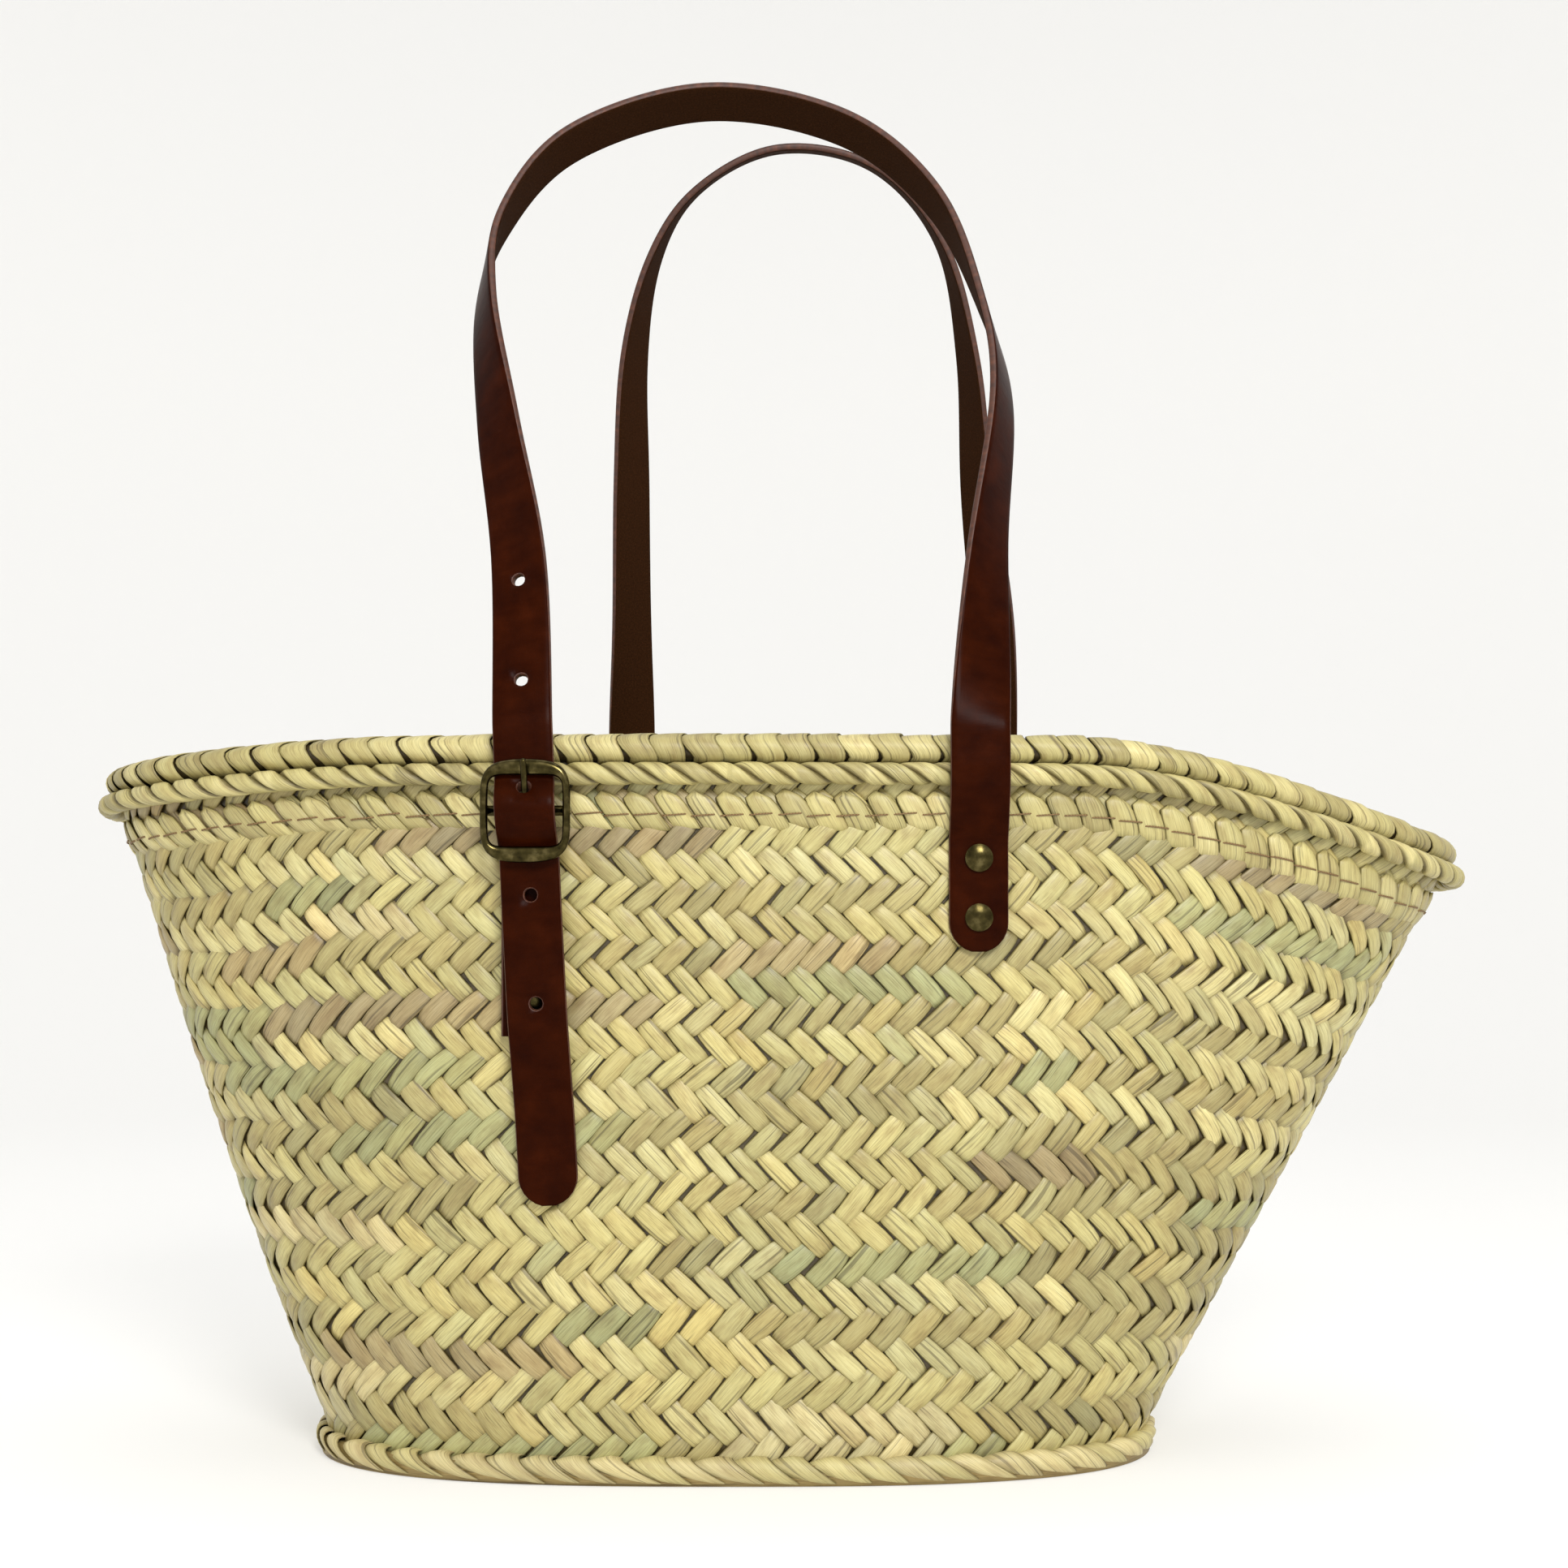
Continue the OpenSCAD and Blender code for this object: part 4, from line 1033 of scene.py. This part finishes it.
def leather_strap(kind):
    """One strap of leather 20 wide and 2.8 thick with rounded edges and round punched holes.
    Columns run along it, drawn in to half circles at its ends, and a square of four by four
    cells is fitted round each hole. The prong leans in its own hole, which slants with it."""
    strap = STRAPS[kind]
    line, face = strap_line(strap)
    way = way_along(line)
    total = way[-1]
    top_of_arch = line[:, 2].argmax()
    holes = []
    for k in HOLES:
        z = BAR_Z + (PRONG_HOLE_UP + (0 if k else -PRONG_DROP)) + k * HOLE_PITCH * math.cos(TILT)
        holes.append((float(np.interp(z, line[:top_of_arch, 2], way[:top_of_arch])), k == 0))
    rows = strap_rows(total, holes)
    nr, nc = len(rows), len(COLUMNS)
    under = nr * nc                                        # point numbers on the flesh side
    from_end = np.minimum(rows, total - rows)
    tip = np.sqrt(np.clip(1 - ((TIP_R - from_end) / TIP_R) ** 2, 0, 1))
    tip = np.where(from_end < TIP_R, tip, 1.0)
    middle, across, out = strap_frame(line, face, rows)
    x = COLUMNS[None] * tip[:, None]
    dome = DOME * (1 - (COLUMNS / TIP_R) ** 2)[None]
    flat = middle[:, None] + x[..., None] * across[:, None]
    half = STRAP_T / 2 - EDGE_DROP[None]
    top = flat + (half + dome)[..., None] * out[:, None]
    low = flat - half[..., None] * out[:, None]
    points = [top.reshape(-1, 3), low.reshape(-1, 3)]
    uv = [np.stack(np.broadcast_arrays(rows[:, None], x), -1).reshape(-1, 2)] * 2
    ids = np.arange(under).reshape(nr, nc)
    taken = np.zeros((nr - 1, nc - 1), bool)
    ring_faces, ring_slots = [], []
    count = 2 * under
    j = HOLE_COLUMN
    for s, pierced in holes:
        i = int(np.argmin(np.abs(rows - s)))
        taken[i - 2:i + 2, j:j + 4] = True
        # outline of the square, in order round it
        edge = [(i - 2, j + k) for k in range(4)] + [(i - 2 + k, j + 4) for k in range(4)]
        edge += [(i + 2, j + 4 - k) for k in range(4)] + [(i + 2 - k, j) for k in range(4)]
        angle = np.array([math.atan2(COLUMNS[b], rows[a] - s) for a, b in edge])
        radius = HOLE_D / 2 + (0.1 if pierced else 0)
        slant = 1.0 if pierced else 0.0
        loops = [np.array([ids[a, b] for a, b in edge])]
        for level, wider in HOLE_RINGS:
            at = s + (radius + wider) * np.cos(angle) + math.copysign(slant, level)
            aside = (radius + wider) * np.sin(angle)
            rim_mid, rim_across, rim_out = strap_frame(line, face, at)
            height = level * STRAP_T / 2 + (0.1 if level == 1 else 0)
            points.append(rim_mid + aside[:, None] * rim_across + height * rim_out)
            uv.append(np.stack([at, aside], 1))
            loops.append(count + np.arange(RIM_POINTS))
            count += RIM_POINTS
        loops.append(loops[0] + under)
        for a, b, slot in zip(loops[:-1], loops[1:], HOLE_SLOTS):
            ring_faces.append(np.stack([a, np.roll(a, -1), np.roll(b, -1), b], 1))
            ring_slots += [slot] * RIM_POINTS
    i, j = np.nonzero(~taken)
    quad = np.stack([ids[i, j], ids[i, j] + 1, ids[i, j] + 1 + nc, ids[i, j] + nc], 1)
    on_edge = (j == 0) | (j == nc - 2)
    quads = [quad, quad[:, ::-1] + under]
    slots = list(np.where(on_edge, ON_EDGE, ON_GRAIN)) + list(np.where(on_edge, ON_EDGE, ON_FLESH))
    for rim in (ids[:, 0], ids[:, -1], ids[0], ids[-1]):
        quads.append(np.stack([rim[:-1], rim[1:], rim[1:] + under, rim[:-1] + under], 1))
        slots += [ON_EDGE] * (len(rim) - 1)
    obj = piece(kind + "_leather_strap", turned(np.concatenate(points), strap["turn"]),
                [np.concatenate(quads + ring_faces)], STRAP_FACES, uv=np.concatenate(uv),
                slots=slots + ring_slots, body=None)
    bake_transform(obj)
    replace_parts(obj, kind + "_strap", kind + "_strap_end", kind + "_strap_tail")


LOOP_R = 2.9                # the chape's middle, round the centre bar
PRONG_SLOT = 2.5            # half width of the slot for the prong
# Section of the chape: (share of its half width, share of half its thickness), and the slots
# of the faces that start at those points
CHAPE_RING = np.array([(-1, -0.5), (-1, 0.5), (-0.93, 1), (0.93, 1), (1, 0.5), (1, -0.5),
                       (0.93, -1), (-0.93, -1)])
CHAPE_SLOTS = [ON_EDGE, ON_EDGE, ON_GRAIN, ON_EDGE, ON_EDGE, ON_EDGE, ON_FLESH, ON_EDGE]


def chape_leather(kind):
    """Short strap folded round the centre bar: a back layer, a loop of radius 2.9 with a slot for
    the prong, and a front layer. Four bands follow the fold's line with the same section."""
    strap = STRAPS[kind]
    turn, x, z0 = strap["turn"], bar_x(strap), BAR_Z
    back_q, front_q = SOFT_GAP + 1.0, SOFT_GAP + 3.2

    def on_wall(points):
        pts = np.array(points, float)
        return np.stack([-(near_y(turn, x, pts[:, 1]) + pts[:, 0]), pts[:, 1]], 1)

    down = [30, 45, 60, 75]
    back = on_wall([[back_q, z0 - d] for d in down[::-1]] + [
        [back_q, z0 - 19], [back_q + 0.2, z0 - 15], [back_q + 2.1, z0 - 9.4],
        [BAR_Q - LOOP_R - 0.8, z0 - 5]])
    round_bar = np.radians(np.arange(195, -46, -15))
    loop = np.stack([-(float(near_y(turn, x, z0)) + BAR_Q + LOOP_R * np.cos(round_bar)),
                     z0 + LOOP_R * np.sin(round_bar)], 1)
    front = on_wall([[BAR_Q + 0.8, z0 - 4.6], [front_q + 3, z0 - 9.4], [front_q + 1.3, z0 - 12],
                     [front_q + 0.6, z0 - 14], [front_q, z0 - 18.5]] + [[front_q, z0 - d] for d in down])
    line = np.concatenate([back, loop, front])
    t = unit(np.gradient(line, axis=0))
    out = np.stack([-t[:, 1], t[:, 0]], 1)
    out *= np.sign(out[len(back) + 8, 1])                  # up at the loop's top: outside of the fold
    way = way_along(line)
    b, h = CHAPE_RING.T
    ring = len(CHAPE_RING)
    first, last = len(back) - 1, len(back) + len(loop)
    half = CHAPE_W / 2
    points, uvs, quads, caps, slots, count = [], [], [], [], [], 0
    for start, stop, x_low, x_high in (
            (0, first, -half, half), (first, last, -half, -PRONG_SLOT),
            (first, last, PRONG_SLOT, half), (last, len(line) - 1, -half, half)):
        rows = slice(start, stop + 1)
        aside = (x_low + x_high) / 2 + b * (x_high - x_low) / 2
        yz = line[rows, None] + out[rows, None] * (h * CHAPE_T / 2)[None, :, None]
        aside = np.broadcast_to(aside, yz.shape[:2])
        points.append(np.concatenate([x + aside[..., None], yz], 2).reshape(-1, 3))
        uvs.append(np.stack(np.broadcast_arrays(way[rows, None], aside), -1).reshape(-1, 2))
        sides, *ends = sausage_faces(1, stop + 1 - start, ring)
        quads.append(sides + count)
        caps += [cap + count for cap in ends]
        slots += CHAPE_SLOTS * (stop - start)
        count += (stop + 1 - start) * ring
    slots += [ON_EDGE] * len(caps)
    obj = piece(kind + "_chape_leather", turned(np.concatenate(points), turn),
                [np.concatenate(quads), np.concatenate(caps)], STRAP_FACES,
                uv=np.concatenate(uvs), slots=slots)
    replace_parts(obj, kind + "_chape")


# ---------------------------------------------------------------- brass

# Outlines of the buckle: (width, height, corner radius, bow of the top and bottom)
BUCKLE_OUTER, BUCKLE_INNER = (30.0, 34.5, 6.4, 1.8), (24.8, 23.6, 2.4, 0.0)
BUCKLE_T = 1.5              # how far the half-round face stands out
BUCKLE_BACK = 1.45          # how far its flat back is behind its middle
BUCKLE_AIR = 1.0            # air between the strap and the frame
BAR_X, BAR_R = 13.7, 1.75   # half length and radius of the centre bar
LUG_R = (1.9, 1.6)          # a lug's radius at the frame and at the bar
LUG_FLAT = 0.72             # lugs are this much narrower across than up and down
TUBE_SIDES = 20


def rounded_outline(w, h, r, bow, count=96):
    """Superellipse close to a rectangle with corner radius r, and a top and bottom that bow out
    by a parabola of x."""
    a = np.linspace(0, 2 * np.pi, count, endpoint=False) + np.pi / count
    n = 2 + 2.2 * (min(w, h) / 2 / r - 1) ** 0.62
    k = (np.abs(np.cos(a)) ** n + np.abs(np.sin(a)) ** n) ** (-1 / n)
    x, z = w / 2 * k * np.cos(a), (h / 2 - bow) * k * np.sin(a)
    bulge = bow * (1 - (x / (w / 2)) ** 2) * np.clip(np.abs(z) / (h / 2 - bow), 0, 1) ** 2
    return x, z + np.sign(z) * bulge


def straight_bar(a, b, radii, flat):
    """Round bar from a to b whose radius goes from one to the other; flat squeezes it sideways."""
    a, b = np.array(a), np.array(b)
    ahead = (b - a) / np.linalg.norm(b - a)
    side = np.cross(ahead, [0, 0, 1.0])
    up = np.cross(side, ahead)
    angle = np.linspace(0, 2 * np.pi, TUBE_SIDES, endpoint=False)[:, None]
    ring = np.cos(angle) * side * flat + np.sin(angle) * up
    return np.concatenate([a + radii[0] * ring, b + radii[1] * ring])


def buckle_cast(kind):
    """Cast buckle: a frame between two outlines with a half-round face, wide bowed bars above
    and below and thin side rails, and a centre bar set back behind it on two lugs."""
    turn = STRAPS[kind]["turn"]
    origin = np.array(joint_places[kind + "_buckle_tilt"]["pos_m"]) * MM * np.array([turn, turn, 1])
    y_here, y_lower = (near_y(turn, origin[0], BAR_Z - d) for d in (0, 40))
    lean = math.atan((y_here - y_lower) / 40)              # the wall's slope over 40 mm
    set_back = OVER_CORD_Q + STRAP_T / 2 + BUCKLE_AIR + BUCKLE_T - BAR_Q
    (ox, oz), (ix, iz) = rounded_outline(*BUCKLE_OUTER), rounded_outline(*BUCKLE_INNER)
    # the frame's section: (share of the way from the inner outline to the outer, y)
    section = [(0.5 - 0.5 * math.cos(f), 0.5 - BUCKLE_T * math.sin(f) ** 0.8)
               for f in np.linspace(0, np.pi, 9)] + [(0.9, BUCKLE_BACK), (0.1, BUCKLE_BACK)]
    hoop = np.stack([np.stack([ix + (ox - ix) * m, np.full_like(ix, y - set_back), iz + (oz - iz) * m], 1)
                     for m, y in section], 1)
    parts = [hoop.reshape(-1, 3), straight_bar([-BAR_X, 0, 0], [BAR_X, 0, 0], (BAR_R, BAR_R), 1.0)]
    for x in (-BAR_X, BAR_X):
        parts.append(straight_bar([x, 0.9, 0], [x, -set_back, 0], LUG_R, LUG_FLAT))
    quads, caps, count = sausage_faces(1, *hoop.shape[:2], closed=True), [], len(parts[0])
    for part in parts[1:]:
        sides, *ends = sausage_faces(1, 2, TUBE_SIDES)
        quads.append(sides + count)
        caps += [cap + count for cap in ends]
        count += len(part)
    pts = np.concatenate(parts)
    c, s = math.cos(lean), math.sin(lean)
    leaning = np.stack([pts[:, 0], pts[:, 1] * c - pts[:, 2] * s, pts[:, 1] * s + pts[:, 2] * c], 1)
    obj = piece(kind + "_buckle_cast", turned(leaning + origin, turn),
                [np.concatenate(quads), np.concatenate(caps)], [BRASS],
                body=kind + "_buckle")
    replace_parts(obj, kind + "_buckle_frame")


for kind in ("front", "back"):
    leather_strap(kind)
    chape_leather(kind)
    buckle_cast(kind)
    for node in ("buckle_prong", "rivets", "rivet_washers"):
        for material_slot in frame["nodes"][kind + "_" + node].material_slots:
            material_slot.material = BRASS


# ---------------------------------------------------------------- floor, light and camera
# Places and sizes in this part are in metres

def pale_bowl():
    """Pale studio bowl: a flat floor from the middle, then a quarter circle of radius rise up to
    a straight wall, turned round Z. It glows a little, so that it stays pale on all sides."""
    flat, rise, top, count = 1.7, 1.2, 3.6, 72
    a = np.radians(np.linspace(0, 90, 13))
    radius = np.concatenate([[0.05, flat / 2], flat + rise * np.sin(a), [flat + rise]])
    height = np.concatenate([[0, 0], rise - rise * np.cos(a), [top]])
    turn = np.radians(np.arange(count) * 360 / count)[:, None]
    points = np.stack([radius * np.cos(turn), radius * np.sin(turn), height + 0 * turn], -1)
    sheet = np.arange(count * len(radius)).reshape(count, -1)
    after = np.roll(sheet, -1, 0)
    quads = np.stack([sheet[:, :-1], sheet[:, 1:], after[:, 1:], after[:, :-1]], -1).reshape(-1, 4)
    mesh = bpy.data.meshes.new("pale_bowl")
    mesh.from_pydata(points.reshape(-1, 3).tolist(), [], quads[:, ::-1].tolist() + [sheet[:, 0].tolist()])
    mesh.polygons.foreach_set("use_smooth", [True] * len(mesh.polygons))
    mat, _, shader = new_material("pale_paper", "#c9c8c5")
    feed(shader, {"Base Color": linear("#c9c8c5"), "Roughness": 0.9, "Specular IOR Level": 0.1,
                  "Emission Color": linear("#ffffff"), "Emission Strength": 0.37})
    mesh.materials.append(mat)
    put_in_scene("pale_bowl", mesh)


def put_in_scene(name, data, place=(0, 0, 0), turn=(0, 0, 0)):
    """Object that belongs to the studio and isn't part of the basket."""
    obj = bpy.data.objects.new(name, data)
    obj.location = place
    obj.rotation_euler = turn
    bpy.context.scene.collection.objects.link(obj)
    return obj


def soft_light(name, place, aim, size, watts):
    """White area light at a place, turned towards the aim."""
    light = bpy.data.lights.new(name, "AREA")
    light.shape = "RECTANGLE"
    light.size, light.size_y = size
    light.energy = watts
    turn = Vector(np.array(aim) - np.array(place)).to_track_quat("-Z", "Y").to_euler()
    put_in_scene(name, light, place, turn)


def studio():
    """Even white surroundings, a small key light on the right that throws the straps' shadows, a
    broad fill on the left and two broad lights above."""
    world = bpy.data.worlds.new("studio")
    world.use_nodes = True
    feed(world.node_tree.nodes["Background"], {"Color": linear("#f7f8fa"), "Strength": 0.5})
    bpy.context.scene.world = world
    bpy.context.scene.view_settings.view_transform = "Standard"
    middle = (0, 0, 0.2)
    soft_light("key", (0.26, -1.28, 0.85), middle, (0.42, 0.42), 16)
    soft_light("fill", (-1.8, -1.2, 0.8), middle, (1.6, 1.6), 3)
    soft_light("top", (0.1, 0.2, 2.2), middle, (1.6, 1.2), 6)
    soft_light("high", (0.0, 0.0, 3.4), (0, 0, 0), (3.0, 3.0), 18)


def low_front_camera():
    """Low view from the front, looking 5 degrees up."""
    camera = bpy.data.cameras.new("view")
    camera.sensor_width = 36.0
    camera.lens = 46.96
    camera.clip_start = 0.02
    turn = (math.radians(90 + 5.04), 0, 0)
    bpy.context.scene.camera = put_in_scene("view", camera, (0.0174, -0.784, 0.175), turn)


pale_bowl()
studio()
low_front_camera()
